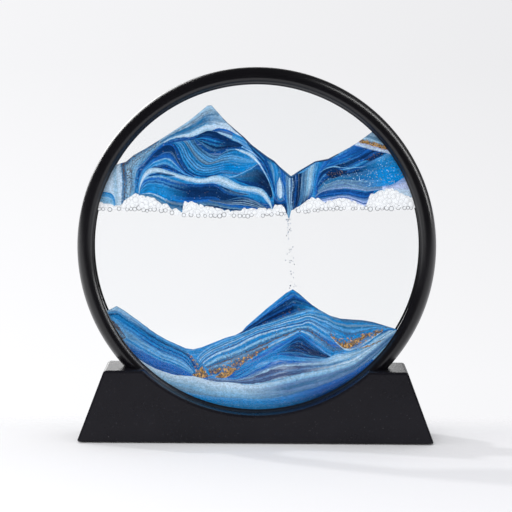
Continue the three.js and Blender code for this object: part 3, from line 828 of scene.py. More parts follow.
def streaked_sand(
    name, size, seed, bands, far_bands=None, turn=(0.4, 0.6), lines=0, line_dye="navy", line_strength=0.0,
    line_end=2.0, threads=(0.5, 0.35), thread_dyes=("navy", "frost"), flecks=None, fleck_dye="gold",
    waver=0.1, softness=0.02, grain_scale=2600.0,
):
    """Sand in bands across a layer, which may change to other bands along it.
    Dark and light threads and fine lines run along the layer, and flecks of another sand lie in it."""
    material, tree, shader = new_material(name)
    strata = add_node(tree, "UVMap", {"uv_map": "strata"})
    parts = add_node(tree, "SeparateXYZ")
    streaks = add_node(
        tree, "Group", {"node_tree": sand_streaks}, Waver=waver, Lines=float(lines), Seed=seed,
        Along_Scale=size[0] / THREAD_LENGTH_MM, Across_Scale=size[1] / THREAD_WIDTH_MM,
    )
    tone = add_node(tree, "ValToRGB")
    ramp_stops(tone, band_stops(bands, softness))
    grains = add_node(tree, "Group", {"node_tree": sand_grains}, Grain_Scale=grain_scale)
    bump = add_node(tree, "Bump", Strength=0.25, Distance=0.00006)
    wire(tree, [
        (strata, "UV", parts, "Vector"),
        (parts, "X", streaks, "Along"),
        (parts, "Y", streaks, "Across"),
        (streaks, "Across", tone, "Fac"),
    ])
    sand = tone
    if far_bands:
        far_tone = add_node(tree, "ValToRGB")
        ramp_stops(far_tone, band_stops(far_bands, softness))
        change = add_node(tree, "MapRange", From_Min=turn[0], From_Max=turn[1])
        both = add_node(tree, "MixRGB")
        wire(tree, [
            (streaks, "Across", far_tone, "Fac"),
            (parts, "X", change, "Value"),
            (change, "Result", both, "Fac"),
            (sand, "Color", both, "Color1"),
            (far_tone, "Color", both, "Color2"),
        ])
        sand = both
    for strength, dye, start, peak in zip(threads, thread_dyes, THREAD_STARTS, THREAD_PEAKS):
        share = add_node(tree, "MapRange", From_Min=start, From_Max=peak, To_Max=strength)
        threaded = add_node(tree, "MixRGB", Color2=SAND_DYES[dye])
        wire(tree, [
            (streaks, "Thread", share, "Value"),
            (share, "Result", threaded, "Fac"),
            (sand, "Color", threaded, "Color1"),
        ])
        sand = threaded
    if lines:
        fade = add_node(
            tree, "MapRange", From_Min=line_end - LINE_FADE, From_Max=line_end,
            To_Min=line_strength, To_Max=0.0,
        )
        strength = math_node(tree, "MULTIPLY")
        lined = add_node(tree, "MixRGB", Color2=SAND_DYES[line_dye])
        wire(tree, [
            (parts, "X", fade, "Value"),
            (fade, "Result", strength, 1),
            (streaks, "Line", strength, 0),
            (strength, 0, lined, "Fac"),
            (sand, "Color", lined, "Color1"),
        ])
        sand = lined
    if flecks:
        share = add_node(tree, "ValToRGB")
        ramp_stops(share, [(place, (amount, amount, amount, 1)) for place, amount in flecks])
        wire(tree, [
            (streaks, "Across", share, "Fac"),
            (share, "Color", grains, "Fleck Share"),
        ])
        grains.inputs["Fleck Colour"].default_value = SAND_DYES[fleck_dye]
    shader.inputs["Roughness"].default_value = 0.6
    shader.inputs["Specular IOR Level"].default_value = 0.02
    wire(tree, [
        (sand, "Color", grains, "Tone"),
        (grains, "Color", shader, "Base Color"),
        (grains, "Height", bump, "Height"),
        (bump, "Normal", shader, "Normal"),
    ])
    return material


def smooth_line(points, count):
    """Evenly spaced points along one smooth curve through the given points."""
    given = [np.array(point, dtype=float) for point in points]
    given = [2 * given[0] - given[1], *given, 2 * given[-1] - given[-2]]
    curve = []
    for before, start, end, after in zip(given, given[1:], given[2:], given[3:]):
        pairs = ((before, start), (start, end), (end, after))
        spans = [math.sqrt(np.hypot(*(last - first))) + SMALLEST_STEP for first, last in pairs]
        knots = np.cumsum([0, *spans])
        places = np.linspace(knots[1], knots[2], CURVE_STEPS, endpoint=False)[:, None]

        def between(first, last, low, high):
            """Points on the line from first to last, which the knots low and high bound."""
            return ((high - places) * first + (places - low) * last) / (high - low)

        lead = between(before, start, knots[0], knots[1])
        middle = between(start, end, knots[1], knots[2])
        tail = between(end, after, knots[2], knots[3])
        early = between(lead, middle, knots[0], knots[2])
        late = between(middle, tail, knots[1], knots[3])
        curve.append(between(early, late, knots[1], knots[2]))
    curve = np.vstack([*curve, given[-2][None, :]])
    reach = np.concatenate([[0], np.cumsum(np.hypot(*np.diff(curve, axis=0).T))])
    places = np.linspace(0, reach[-1], count)
    return np.column_stack([np.interp(places, reach, curve[:, axis]) for axis in (0, 1)])


def wavered(line, seed):
    """The line with the small unevenness of poured grains."""
    moved = line.copy()
    for point in moved:
        slow = noise.noise(Vector((point[0] * SLOW_WAVE, point[1] * SLOW_WAVE, seed)))
        quick = noise.noise(Vector((point[0] * QUICK_WAVE, point[1] * QUICK_WAVE, seed + QUICK_SEED_STEP)))
        point[1] += EDGE_WAVER_MM * (slow + QUICK_SHARE * quick)
    return moved


def line_height(x, line):
    """The line's z at x."""
    return np.interp(x, [point[0] for point in line], [point[1] for point in line])


def kept_spans(top, bottom, holds):
    """The columns between two lines where holds(x, z) is true, with the span of each that is kept.
    A span's start and end are shares of the way from the top line to the bottom one."""

    def place(share):
        """The x and z of places this share of the way from the top line to the bottom one."""
        return [top[:, axis, None] * (1 - share) + bottom[:, axis, None] * share for axis in (0, 1)]

    shares = np.tile(np.linspace(0, 1, CLIP_SAMPLES), (len(top), 1))
    kept = holds(*place(shares))
    filled = np.flatnonzero(kept.any(axis=1))
    first = kept.argmax(axis=1)
    last = CLIP_SAMPLES - 1 - kept[:, ::-1].argmax(axis=1)
    step = 1 / (CLIP_SAMPLES - 1)
    ends = []
    for inside, outside in ((first * step, (first - 1) * step), (last * step, (last + 1) * step)):
        near = inside[:, None]
        far = np.clip(outside, 0, 1)[:, None]
        for _ in range(CLIP_ROUNDS):
            middle = (near + far) / 2
            good = holds(*place(middle))
            near = np.where(good, middle, near)
            far = np.where(good, far, middle)
        ends.append(near[:, 0])
    columns = np.arange(filled[0], filled[-1] + 1)
    start, end = (np.interp(columns, filled, edge[filled]) for edge in ends)
    return columns, start, end


def sand_layer(
    name, node_name, order, upper, lower, holds, slot="blue_sand", rows=LAYER_ROWS, depth=SAND_HALF_DEPTH,
    material=None, **streaks
):
    """One layer between two edge lines, kept where holds(x, z) is true, and as thick as the cell's gap.
    A later order stands a hair prouder on both faces, so it lies over the layers before it."""
    length = max(np.hypot(*np.diff(np.array(line), axis=0).T).sum() for line in (upper, lower))
    count = max(LEAST_COLUMNS, int(length / COLUMN_WIDTH_MM))
    top = wavered(smooth_line(upper, count), order + TOP_SEED)
    bottom = wavered(smooth_line(lower, count), order + BOTTOM_SEED)
    columns, start, end = kept_spans(top, bottom, holds)

    bpy.ops.object.select_all(action="DESELECT")
    bpy.ops.mesh.primitive_grid_add(x_subdivisions=len(columns) - 1, y_subdivisions=rows, size=2)
    layer = bpy.context.object
    layer.name = name
    mesh = layer.data
    flat = np.array([vertex.co[:2] for vertex in mesh.vertices])
    column = np.rint((flat[:, 0] + 1) / 2 * (len(columns) - 1)).astype(int)
    row = (flat[:, 1] + 1) / 2
    across = start[column] * (1 - row) + end[column] * row
    for axis in (0, 1):
        flat[:, axis] = top[columns[column], axis] * (1 - across) + bottom[columns[column], axis] * across
    along = columns[column] / (count - 1)
    for vertex, (x, z) in zip(mesh.vertices, flat):
        vertex.co = (x * MM, 0, ring_height + z * MM)
    mesh.uv_layers[0].name = "strata"
    for loop, corner in zip(mesh.loops, mesh.uv_layers[0].data):
        corner.uv = (along[loop.vertex_index], across[loop.vertex_index])
    bpy.ops.object.mode_set(mode="EDIT")
    bpy.ops.mesh.select_all(action="SELECT")
    bpy.ops.mesh.remove_doubles(threshold=LAYER_MERGE)
    bpy.ops.object.mode_set(mode="OBJECT")
    half_depth = depth + LAYER_STEP * order
    apply_modifier(layer, "SOLIDIFY", thickness=2 * half_depth, offset=0)
    bpy.ops.object.shade_smooth_by_angle(angle=LAYER_SMOOTH)
    if not material:
        width = np.hypot(*(top - bottom).T).mean()
        seed = order * STREAK_SEED_STEP
        material = streaked_sand(name + "_grains", (length, width), seed, **streaks)
    layer.data.materials.append(material)
    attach(layer, "ring")
    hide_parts(node_name)


BANK_CREST = [
    (-82, 37), (-73, 39.4), (-69.2, 40.7), (-65.1, 42), (-61.3, 45.3), (-54.9, 48.9), (-45.2, 55),
    (-34.4, 62.1), (-30.1, 65.6), (-24.7, 70.1), (-22.8, 70.2), (-19.9, 67), (-15.6, 62.2), (-6.4, 54.4),
    (-2.6, 50.6), (4.8, 45.1), (8.5, 42.8), (11.3, 39.9), (16.8, 35.3), (19.9, 37.5), (28.7, 42.8),
    (35.2, 44.1), (45.4, 49.6), (50, 52.5), (56.3, 57.2), (66, 63.5),
]
BANK_UNDERSIDE = [
    (-82, 22), (-77.2, 21.8), (-70, 20.2), (-66.7, 21), (-65.1, 23.4), (-63, 25.3), (-60, 26.4),
    (-57, 25.3), (-50, 23.4), (-47.9, 21.3), (-44.7, 21.3), (-43, 18.6), (-40, 18.6), (-37.1, 17.2),
    (-36.3, 22.1), (-32.8, 22.1), (-25.3, 20.2), (-14.5, 18.1), (-9.7, 17.5), (-5.9, 19.2), (0, 18.9),
    (3.8, 19.5), (7.6, 18.9), (9, 20.9), (13.3, 20.6), (15, 16.6), (15.9, 13.6), (17, 18.6),
    (19.9, 19.4), (22.7, 23.1), (26.7, 24.6), (30.1, 24.3), (33.5, 22.3), (36.9, 23.7), (42.6, 24.6),
    (48.3, 22.9), (53.7, 20), (55.7, 26), (59.7, 28), (67.1, 29.7), (69.9, 28), (74.5, 25.4), (82, 25),
]
BUBBLE_PRESS_WIDTH_MM = 4.2
BUBBLE_PRESS_MM = 1.6
PRESS_SHIFT_MM = 0.8
PRESS_SHIFT_RATE = 0.9
PRESS_VARIES = 0.25
PRESS_VARIES_RATE = 1.7
PRESS_MIDDLE = 0.5
FUNNEL_X_MM = 16.0
FUNNEL_HALF_WIDTH_MM = 2


def bubble_line(x):
    """The bank's underside, which rounds up over each bubble that presses on it, but not at the funnel."""
    uneven = (x + PRESS_SHIFT_MM * np.sin(PRESS_SHIFT_RATE * x)) / BUBBLE_PRESS_WIDTH_MM
    share = uneven % 1 * 2 - 1
    off_funnel = np.clip(np.abs(x - FUNNEL_X_MM) - FUNNEL_HALF_WIDTH_MM, 0, 1)
    depth = 1 - PRESS_VARIES + PRESS_VARIES * np.sin(PRESS_VARIES_RATE * x)
    press = BUBBLE_PRESS_MM * depth * off_funnel
    return line_height(x, BANK_UNDERSIDE) + press * (np.sqrt(1 - share ** 2) - PRESS_MIDDLE)


def in_bank(x, z):
    """Whether a place lies in the bank: under its crest, over the bubbles and inside the cell."""
    under_crest = z < line_height(x, BANK_CREST)
    over_bubbles = z > bubble_line(x)
    return under_crest & over_bubbles & (np.hypot(x, z) < fill_radius_mm)


def bank_layer(name, order, upper, lower, **streaks):
    """One layer of the bank's blue sand."""
    sand_layer(name, "upper_sand", order, upper, lower, in_bank, **streaks)


bank_layer(
    "bank_body", 0,
    [(-82, 46), (-23, 76), (17, 46), (66, 70)], [(-82, 19), (-40, 15), (17, 13), (82, 22)],
    bands=[(0, "sky"), (0.3, "cobalt"), (0.6, "azure"), (0.8, "cobalt")],
)
bank_layer(
    "bank_lower_layers", 1,
    [(-58.5, 27), (-57.5, 31), (-56, 33.5), (-53, 35), (-48, 35.3), (-42, 33.5), (-34, 31.5),
     (-28, 31.3), (-23, 31.8), (-20, 31.3), (-16.6, 28.5), (-13, 27), (-8, 26), (-3, 24.5), (2, 22),
     (7.5, 18)],
    [(-58, 25.8), (-54, 24), (-50, 22), (-46, 19), (-42, 17), (-36, 16.5), (-28, 17), (-20, 17),
     (-12, 16.5), (-6, 16.5), (0, 17), (6, 17.5)],
    bands=[(0, "pale"), (0.06, "royal"), (0.14, "sky"), (0.18, "cobalt"), (0.24, "sky"), (0.28, "azure"),
           (0.58, "bright"), (0.66, "frost"), (0.71, "teal"), (0.8, "steel")],
    far_bands=[(0, "cobalt"), (0.1, "navy"), (0.46, "cobalt"), (0.54, "royal"), (0.64, "slate"),
               (0.7, "steel"), (0.74, "navy"), (0.82, "slate"), (0.87, "pale"), (0.91, "teal")],
    turn=(0.22, 0.4), threads=(0.5, 0.1), thread_dyes=("ink", "sky"), rows=12,
)
bank_layer(
    "bank_left_panel", 2,
    [(-84, 42), (-84, 32), (-82, 20)], [(-66.9, 41.5), (-66.3, 36), (-65.9, 30), (-66.2, 20)],
    bands=[(0, "frost"), (0.42, "white"), (0.72, "frost"), (0.82, "white"), (0.94, "slate")],
    threads=(0.2, 0.4), thread_dyes=("pale", "white"),
)
bank_layer(
    "bank_left_foot", 3,
    [(-80, 28), (-76.5, 27.3), (-73, 26.8), (-71, 25), (-70.2, 22), (-70, 19.5)],
    [(-81, 16), (-78, 16), (-76, 16), (-74, 16), (-72, 16), (-71, 16)],
    bands=[(0, "azure"), (0.07, "sky"), (0.2, "pale"), (0.5, "frost")], threads=(0.3, 0.3),
    thread_dyes=("sky", "white"),
)
bank_layer(
    "bank_left_streak", 4,
    [(-66.2, 20), (-66, 26), (-65.9, 30), (-66.3, 36), (-66.7, 40.7), (-65.1, 42.2), (-61.3, 45.5),
     (-54.9, 49.1), (-45.2, 55.2), (-40, 58.6), (-34, 62.6)],
    [(-61, 25), (-60, 27), (-59.6, 31), (-59.2, 35), (-58, 38.5), (-56, 41), (-53.6, 44), (-51, 47.5),
     (-48, 50), (-45, 51.9), (-38, 54.5)],
    bands=[(0, "brown"), (0.07, "slate"), (0.18, "steel"), (0.34, "frost"), (0.46, "steel"),
           (0.64, "pale"), (0.74, "steel"), (0.86, "azure"), (0.94, "cobalt")],
    flecks=[(0, 0.4), (0.14, 0.16), (0.3, 0.12), (0.45, 0.4), (0.62, 0.12), (0.75, 0.02)], fleck_dye="brown",
    threads=(0.6, 0.6), thread_dyes=("slate", "frost"), softness=0.06, waver=0.4,
)
bank_layer(
    "bank_crest_band", 5,
    [(-49, 52.8), (-40, 59.2), (-34.4, 63.2), (-30.1, 66.6), (-27, 69.5), (-23, 71.5), (-18, 72.5),
     (-12, 72), (-4, 68)],
    [(-46, 51.6), (-43, 53.2), (-40, 54.1), (-36, 54.6), (-33, 54.6), (-27.4, 56.6), (-24.2, 57.8),
     (-21, 57.4), (-12.9, 53.9), (-4, 50.8)],
    bands=[(0, "frost"), (0.22, "steel"), (0.26, "brown"), (0.3, "frost"), (0.36, "slate"),
           (0.42, "teal"), (0.54, "slate"), (0.6, "steel"), (0.66, "teal"), (0.71, "pale"),
           (0.77, "white"), (0.92, "frost")],
    far_bands=[(0, "frost"), (0.3, "steel"), (0.42, "frost"), (0.6, "white"), (0.92, "frost")],
    turn=(0.5, 0.7), threads=(0.45, 0.4), thread_dyes=("slate", "frost"), waver=0.16,
)
bank_layer(
    "bank_blue_lens", 6,
    [(-22.5, 57.9), (-18.8, 59), (-14.5, 58.2), (-10.2, 55.8), (-8, 54.4)],
    [(-22.5, 57.6), (-18.5, 57.2), (-14, 55.9), (-10.5, 54.6), (-8, 54.1)],
    bands=[(0, "royal"), (0.5, "cobalt")], threads=(0.4, 0.2),
)
bank_layer(
    "bank_pale_shoulder", 7,
    [(-12, 56.5), (-8, 55), (-4, 52.2), (0, 49), (3, 46.5)],
    [(-13, 52.5), (-9.5, 50.5), (-6, 48.6), (-2, 46.4), (1.5, 43.5)],
    bands=[(0, "azure"), (0.25, "sky"), (0.5, "pale"), (0.7, "azure"), (0.82, "frost"), (0.92, "sky")],
    threads=(0.5, 0.45), thread_dyes=("royal", "white"), waver=0.2,
)
bank_layer(
    "bank_fold", 8,
    [(-31, 53.4), (-29.8, 51.2), (-27.5, 49), (-24.5, 47), (-21.5, 45.6), (-19.5, 45.4), (-17.5, 46.8),
     (-14.5, 48.5), (-11, 49), (-7, 48), (-3, 46), (1, 43)],
    [(-43.5, 51.5), (-41.3, 50.6), (-39.8, 48.5), (-38.7, 45.5), (-37.7, 42.5), (-36.2, 39.8),
     (-33.8, 37.2), (-30.5, 35.4), (-23.1, 35), (-18.3, 36.2), (-8.6, 36), (0, 41.5)],
    bands=[(0, "slate"), (0.16, "sky"), (0.34, "steel"), (0.46, "azure"), (0.6, "sky"), (0.78, "azure"),
           (0.93, "cobalt")],
    far_bands=[(0, "azure"), (0.25, "sky"), (0.45, "azure"), (0.6, "bright"), (0.8, "azure"),
               (0.9, "cobalt"), (0.95, "azure")],
    turn=(0.5, 0.66), lines=9, line_strength=0.75, line_end=0.85, waver=0.05, threads=(0.3, 0.35),
    thread_dyes=("navy", "pale"), rows=14,
)
bank_layer(
    "bank_navy_arch", 9,
    [(-31, 54), (-29.5, 54.9), (-27.4, 56.5), (-24.2, 57.6), (-21, 57.3), (-16.6, 55.2), (-12.9, 53.3),
     (-8.8, 51.7), (-7, 50.5)],
    [(-31, 53.8), (-29.5, 52.5), (-27.5, 50.8), (-24.5, 48.8), (-21, 47.3), (-17.5, 48), (-14, 49),
     (-11, 49.4), (-8, 49.8)],
    bands=[(0, "navy"), (0.3, "cobalt"), (0.42, "azure"), (0.5, "cobalt"), (0.62, "teal"),
           (0.72, "navy"), (0.82, "slate")],
    far_bands=[(0, "navy"), (0.6, "ink"), (0.85, "cobalt")], turn=(0.45, 0.7),
    lines=5, line_strength=0.6, line_dye="ink", threads=(0.6, 0.15), thread_dyes=("ink", "sky"),
)
bank_layer(
    "bank_left_arch", 10,
    [(-59.6, 29), (-59, 33), (-57.8, 37), (-55.8, 40.5), (-53.5, 43.5), (-51, 46.8), (-48.3, 49.6),
     (-45, 51.3), (-42.3, 51), (-40.6, 49), (-39.6, 46), (-38.6, 43), (-37, 40), (-34.5, 37.2),
     (-31, 35.2)],
    [(-58.5, 27.5), (-57.8, 31), (-56.8, 34), (-55, 36.5), (-52, 38), (-48, 38.6), (-45, 38.4),
     (-42.5, 37.8), (-40, 37), (-38, 36.3), (-36, 35.6), (-34, 35), (-31.5, 34.6)],
    bands=[(0, "cobalt"), (0.05, "navy"), (0.2, "royal"), (0.34, "azure"), (0.5, "sky"), (0.64, "azure"),
           (0.76, "sky"), (0.88, "pale")],
    far_bands=[(0, "royal"), (0.05, "navy"), (0.34, "cobalt"), (0.42, "royal"), (0.58, "pale"),
               (0.62, "azure"), (0.72, "sky"), (0.82, "cobalt"), (0.9, "navy"), (0.96, "royal")],
    turn=(0.25, 0.42), threads=(0.35, 0.3), thread_dyes=("cobalt", "pale"), waver=0.08, rows=14,
)
bank_layer(
    "bank_white_sweep", 11,
    [(-58.7, 26), (-58.3, 30), (-57.4, 33.5), (-55.8, 36.8), (-53.5, 38.8), (-50, 39.3), (-46, 38.6),
     (-38, 36), (-30, 34.4), (-26, 34.2), (-23, 35.2), (-20, 35.7), (-16, 35), (-12, 33), (-8, 31),
     (0, 29.8), (3, 28.6), (5.5, 25.5), (7.2, 21.5), (8, 18.5)],
    [(-58.4, 26), (-57.8, 29), (-56.9, 31.5), (-55.5, 33.6), (-53.5, 35.6), (-50, 36.6), (-46, 36),
     (-38, 33.4), (-30, 31.6), (-26, 31.4), (-22.5, 31.7), (-19.5, 31.4), (-15.5, 29.6), (-12, 28.6),
     (-8, 28), (0, 26.6), (2.8, 25), (5, 22.5), (6.8, 20), (7.8, 18.2)],
    bands=[(0, "pale"), (0.14, "frost"), (0.34, "white"), (0.6, "frost"), (0.84, "sky")],
    threads=(0.35, 0.4), thread_dyes=("pale", "white"), waver=0.14,
)
bank_layer(
    "bank_sweep_shadow", 12,
    [(-50.5, 37), (-48, 37.1), (-45.5, 36.6), (-43, 36), (-40.6, 35.4)],
    [(-50.5, 36.9), (-48, 36.2), (-45.5, 35.7), (-43, 35.4), (-40.6, 35.2)],
    bands=[(0, "slate"), (0.5, "navy")], threads=(0.3, 0.1),
)
bank_layer(
    "bank_navy_lens", 12,
    [(-12.3, 35), (-8.6, 35.8), (-4.8, 38), (0, 40.2), (2.5, 39), (5.1, 35.7), (6.8, 31.7), (7.9, 27.1)],
    [(-12.3, 34.6), (-9, 33), (-5, 31.3), (-1, 30.4), (3, 29), (5.5, 26), (7, 24)],
    bands=[(0, "teal"), (0.25, "slate"), (0.5, "teal"), (0.8, "cobalt")],
    far_bands=[(0, "cobalt"), (0.15, "ink"), (0.8, "navy")], turn=(0.15, 0.6),
    threads=(0.5, 0.06), thread_dyes=("ink", "sky"),
)
bank_layer(
    "bank_white_thread", 13,
    [(-14, 34.9), (-11, 35.6), (-7, 37.4), (-3, 39.4), (0.4, 41.6)],
    [(-14, 34.4), (-11, 34.9), (-7, 36.8), (-3, 38.9), (0.4, 41.3)],
    bands=[(0, "pale"), (0.5, "sky")], threads=(0.3, 0.3), thread_dyes=("sky", "white"),
)
bank_layer(
    "bank_low_stripes", 13,
    [(-24, 23.6), (-15, 23.5), (-8, 25), (-3, 24), (2, 21.8), (5, 19.6), (7.5, 18)],
    [(-24, 23.2), (-15, 21.4), (-8, 20.8), (-2, 20), (2, 19.2), (5, 18.4), (7.4, 17.8)],
    bands=[(0, "slate"), (0.14, "navy"), (0.34, "steel"), (0.42, "navy"), (0.6, "frost"), (0.66, "navy"),
           (0.84, "steel"), (0.92, "cobalt")],
    threads=(0.5, 0.3), thread_dyes=("navy", "frost"),
)
bank_layer(
    "bank_low_lens", 14,
    [(-18.5, 30.4), (-15, 29.2), (-11, 27.8), (-7, 26.8), (-4, 26.4)],
    [(-18.5, 30.2), (-15.5, 27.8), (-12, 26.4), (-8, 25.9), (-4, 26.2)],
    bands=[(0, "navy"), (0.5, "slate")], threads=(0.4, 0.2),
)
bank_layer(
    "bank_valley_slope", 13,
    [(-7, 55.5), (-3, 52), (1, 49), (5, 46), (9, 43.3), (13, 39.6), (17.5, 36)],
    [(-5, 51.5), (-1.8, 47.1), (2.8, 42), (5.1, 36.8), (6.8, 32.3), (7.9, 27.2), (9.6, 23.2)],
    bands=[(0, "steel"), (0.06, "teal"), (0.3, "cobalt"), (0.5, "teal"), (0.66, "navy"),
           (0.84, "cobalt"), (0.94, "azure")],
    threads=(0.5, 0.3), thread_dyes=("navy", "sky"),
)
bank_layer(
    "bank_white_wedge", 15,
    [(-11, 48.9), (-8, 48.7), (-4, 47.4), (-1.2, 45.5), (1, 42.8), (3, 39.2), (5.2, 35.2), (7, 30.5),
     (8.2, 26), (8.8, 22)],
    [(-11, 48.6), (-8, 47.2), (-4.5, 45.6), (-1.5, 43.2), (0.6, 41.4), (2.5, 38.4), (4.8, 34.5),
     (6.7, 30), (7.9, 25.6), (8.6, 21.8)],
    bands=[(0, "sky"), (0.25, "frost"), (0.5, "white"), (0.8, "pale")],
    far_bands=[(0, "azure"), (0.3, "pale"), (0.8, "sky")], turn=(0.4, 0.6),
    threads=(0.4, 0.4), thread_dyes=("azure", "white"), waver=0.2,
)
bank_layer(
    "bank_crest_edge", 25,
    [(-17, 64.2), (-11, 58.8), (-6.4, 55), (-2.6, 51.2), (4.8, 45.6), (8.5, 43.2), (11.3, 40.4),
     (16.8, 35.8), (20, 38), (28.7, 43.3), (35.2, 44.6), (40, 47)],
    [(-17, 63.6), (-11, 57.8), (-6.4, 53.7), (-2.6, 49.9), (4.8, 44.4), (8.5, 42.1), (11.3, 39.2),
     (16.8, 34.6), (20, 36.9), (28.7, 42.2), (35.2, 43.6), (40, 46.6)],
    bands=[(0, "slate"), (0.6, "navy")], threads=(0.5, 0.3), thread_dyes=("brown", "slate"),
)
FUNNEL_LINES = [
    [(3, 43.5), (6.5, 36), (8.5, 29), (9.3, 24), (10, 20.5), (13, 18), (15.4, 14.8)],
    [(8, 42), (8.9, 36), (9.2, 31), (9.8, 27), (11.5, 23.5), (14, 19.5), (15.6, 14.8)],
    [(12.5, 39), (13.4, 34), (13.4, 29), (14, 24), (15, 19.5), (15.8, 14.6)],
    [(15.8, 36.5), (14.8, 33), (15.2, 28), (15.6, 23), (16, 18.5), (16, 14.4)],
    [(17, 35.6), (17.6, 31), (17, 26), (17, 22), (17, 18.5), (16.2, 14.5)],
    [(22.8, 37.5), (22.6, 33), (22.3, 29), (22, 26), (21, 22), (19.5, 18.8)],
    [(29.5, 43), (28.5, 38), (28, 33), (27.6, 29), (27, 26), (26, 24)],
]
FUNNEL_BANDS = [
    [(0, "cobalt"), (0.4, "teal"), (0.75, "azure")],
    [(0, "azure"), (0.4, "teal"), (0.7, "royal")],
    [(0, "royal"), (0.35, "sky"), (0.6, "steel")],
    [(0, "steel"), (0.3, "frost"), (0.6, "slate"), (0.8, "cobalt")],
    [(0, "frost"), (0.07, "navy"), (0.3, "cobalt"), (0.45, "ink"), (0.85, "slate")],
    [(0, "slate"), (0.2, "steel"), (0.36, "pale"), (0.55, "frost"), (0.75, "pale"), (0.9, "sky")],
]
FUNNEL_FIRST_ORDER = 16
FUNNEL_ENDS = [[(0, "steel"), (0.5, "pale")]] * 4 + [[(0, "teal"), (0.2, "navy"), (0.7, "cobalt")]] * 2
for number, (bands, ends) in enumerate(zip(FUNNEL_BANDS, FUNNEL_ENDS)):
    bank_layer(
        f"bank_funnel_{number + 1}", FUNNEL_FIRST_ORDER + number,
        FUNNEL_LINES[number], FUNNEL_LINES[number + 1],
        bands=bands, far_bands=ends, turn=(0.62, 0.9),
        threads=(0.5, 0.35), thread_dyes=("cobalt", "frost"), waver=0.2,
    )
bank_layer(
    "bank_funnel_foot", 22,
    [(8.2, 26.2), (9.4, 24.4), (11.5, 23.4), (13.8, 23.8), (14.8, 21)],
    [(8.7, 18), (10, 18), (12, 18), (13.6, 17.6), (15, 17)],
    bands=[(0, "cobalt"), (0.3, "navy"), (0.7, "ink")], threads=(0.3, 0.2),
)
bank_layer(
    "bank_funnel_drop", 23,
    [(11, 35), (9.2, 32), (8.6, 29.2), (8.8, 26.6), (9.8, 25), (11.4, 24.2)],
    [(11, 35), (12.9, 32), (13.7, 29.2), (13.7, 26.6), (13, 25), (11.4, 24.2)],
    bands=[(0, "cobalt"), (0.08, "sky"), (0.16, "royal"), (0.24, "frost"), (0.4, "white"),
           (0.68, "frost"), (0.78, "royal"), (0.86, "pale"), (0.94, "cobalt")],
    threads=(0.15, 0.2), thread_dyes=("royal", "white"), waver=0.05,
)
bank_layer(
    "bank_right_royal", 12,
    [(29, 43.5), (35, 44.8), (40, 47), (45.4, 50.2), (50, 53), (55, 56.5), (62, 62)],
    [(30, 31), (33, 35.5), (38, 37.5), (43, 38.4), (48, 39.8), (53, 42), (58, 44.5), (63, 46.5), (70, 48)],
    bands=[(0, "steel"), (0.05, "sky"), (0.14, "royal"), (0.42, "azure"), (0.46, "royal"), (0.56, "sky"),
           (0.6, "navy"), (0.82, "cobalt"), (0.92, "sky")],
    far_bands=[(0, "royal"), (0.3, "cobalt"), (0.5, "royal"), (0.64, "navy"), (0.78, "royal"),
               (0.86, "sky"), (0.92, "azure")],
    turn=(0.35, 0.6), threads=(0.55, 0.2), thread_dyes=("navy", "sky"), lines=8, line_strength=0.35, rows=12,
)
bank_layer(
    "bank_right_patch", 13,
    [(34, 36.9), (37, 39.2), (40, 39.1), (44.5, 38.2)],
    [(34, 36.6), (37, 34.8), (40, 35.4), (44.5, 37.8)],
    bands=[(0, "navy"), (0.5, "ink")], flecks=[(0, 0.05), (0.5, 0.22), (1.0, 0.05)], fleck_dye="brown",
    threads=(0.4, 0.1), thread_dyes=("ink", "royal"), softness=0.1,
)
bank_layer(
    "bank_right_thread", 14,
    [(31, 37.6), (34, 39.6), (37.7, 40.7), (41, 40.3), (44.8, 40), (49, 40.2), (54, 40.8)],
    [(31, 37.2), (34, 39.2), (37.7, 40.2), (41, 39.9), (44.8, 39.5), (49, 39.9), (54, 40.6)],
    bands=[(0, "sky"), (0.5, "pale")], threads=(0.4, 0.3), thread_dyes=("royal", "frost"),
)
bank_layer(
    "bank_right_dark", 15,
    [(52.5, 44), (56, 47), (60, 48.6), (64.5, 48.9)],
    [(52.5, 43.6), (56, 43.6), (60, 45.4), (64.5, 48.3)],
    bands=[(0, "cobalt"), (0.5, "navy")], flecks=[(0, 0.05), (0.5, 0.2), (1.0, 0.05)], fleck_dye="brown",
    threads=(0.4, 0.15), thread_dyes=("ink", "sky"), softness=0.1,
)
bank_layer(
    "bank_right_sweep", 13,
    [(29.8, 43.2), (28.9, 38), (28.2, 33), (27.8, 29), (27.4, 25.5)],
    [(36.5, 43), (33, 39), (30.8, 35), (30, 31), (30.2, 27.2)],
    bands=[(0, "sky"), (0.12, "azure"), (0.4, "royal"), (0.8, "cobalt")],
    threads=(0.4, 0.4), thread_dyes=("cobalt", "sky"), waver=0.2,
)
bank_layer(
    "bank_right_teal", 11,
    [(31, 31.5), (35, 35.5), (40, 37.2), (45, 38), (50, 40), (55, 42.5), (60, 45), (66, 48), (76, 50)],
    [(29.5, 26), (32, 29), (36, 31), (42, 32.6), (48, 31.6), (54, 30.5), (60, 30.8), (66, 30.5), (80, 31)],
    bands=[(0, "cobalt"), (0.1, "navy"), (0.25, "slate"), (0.45, "teal"), (0.7, "steel"), (0.88, "mauve")],
    far_bands=[(0, "sky"), (0.12, "azure"), (0.4, "bright")], turn=(0.42, 0.68),
    flecks=[(0, 0.01), (0.4, 0.05), (0.8, 0.07), (1.0, 0.03)], fleck_dye="frost",
    threads=(0.5, 0.25), thread_dyes=("cobalt", "sky"), waver=0.16, rows=12,
)
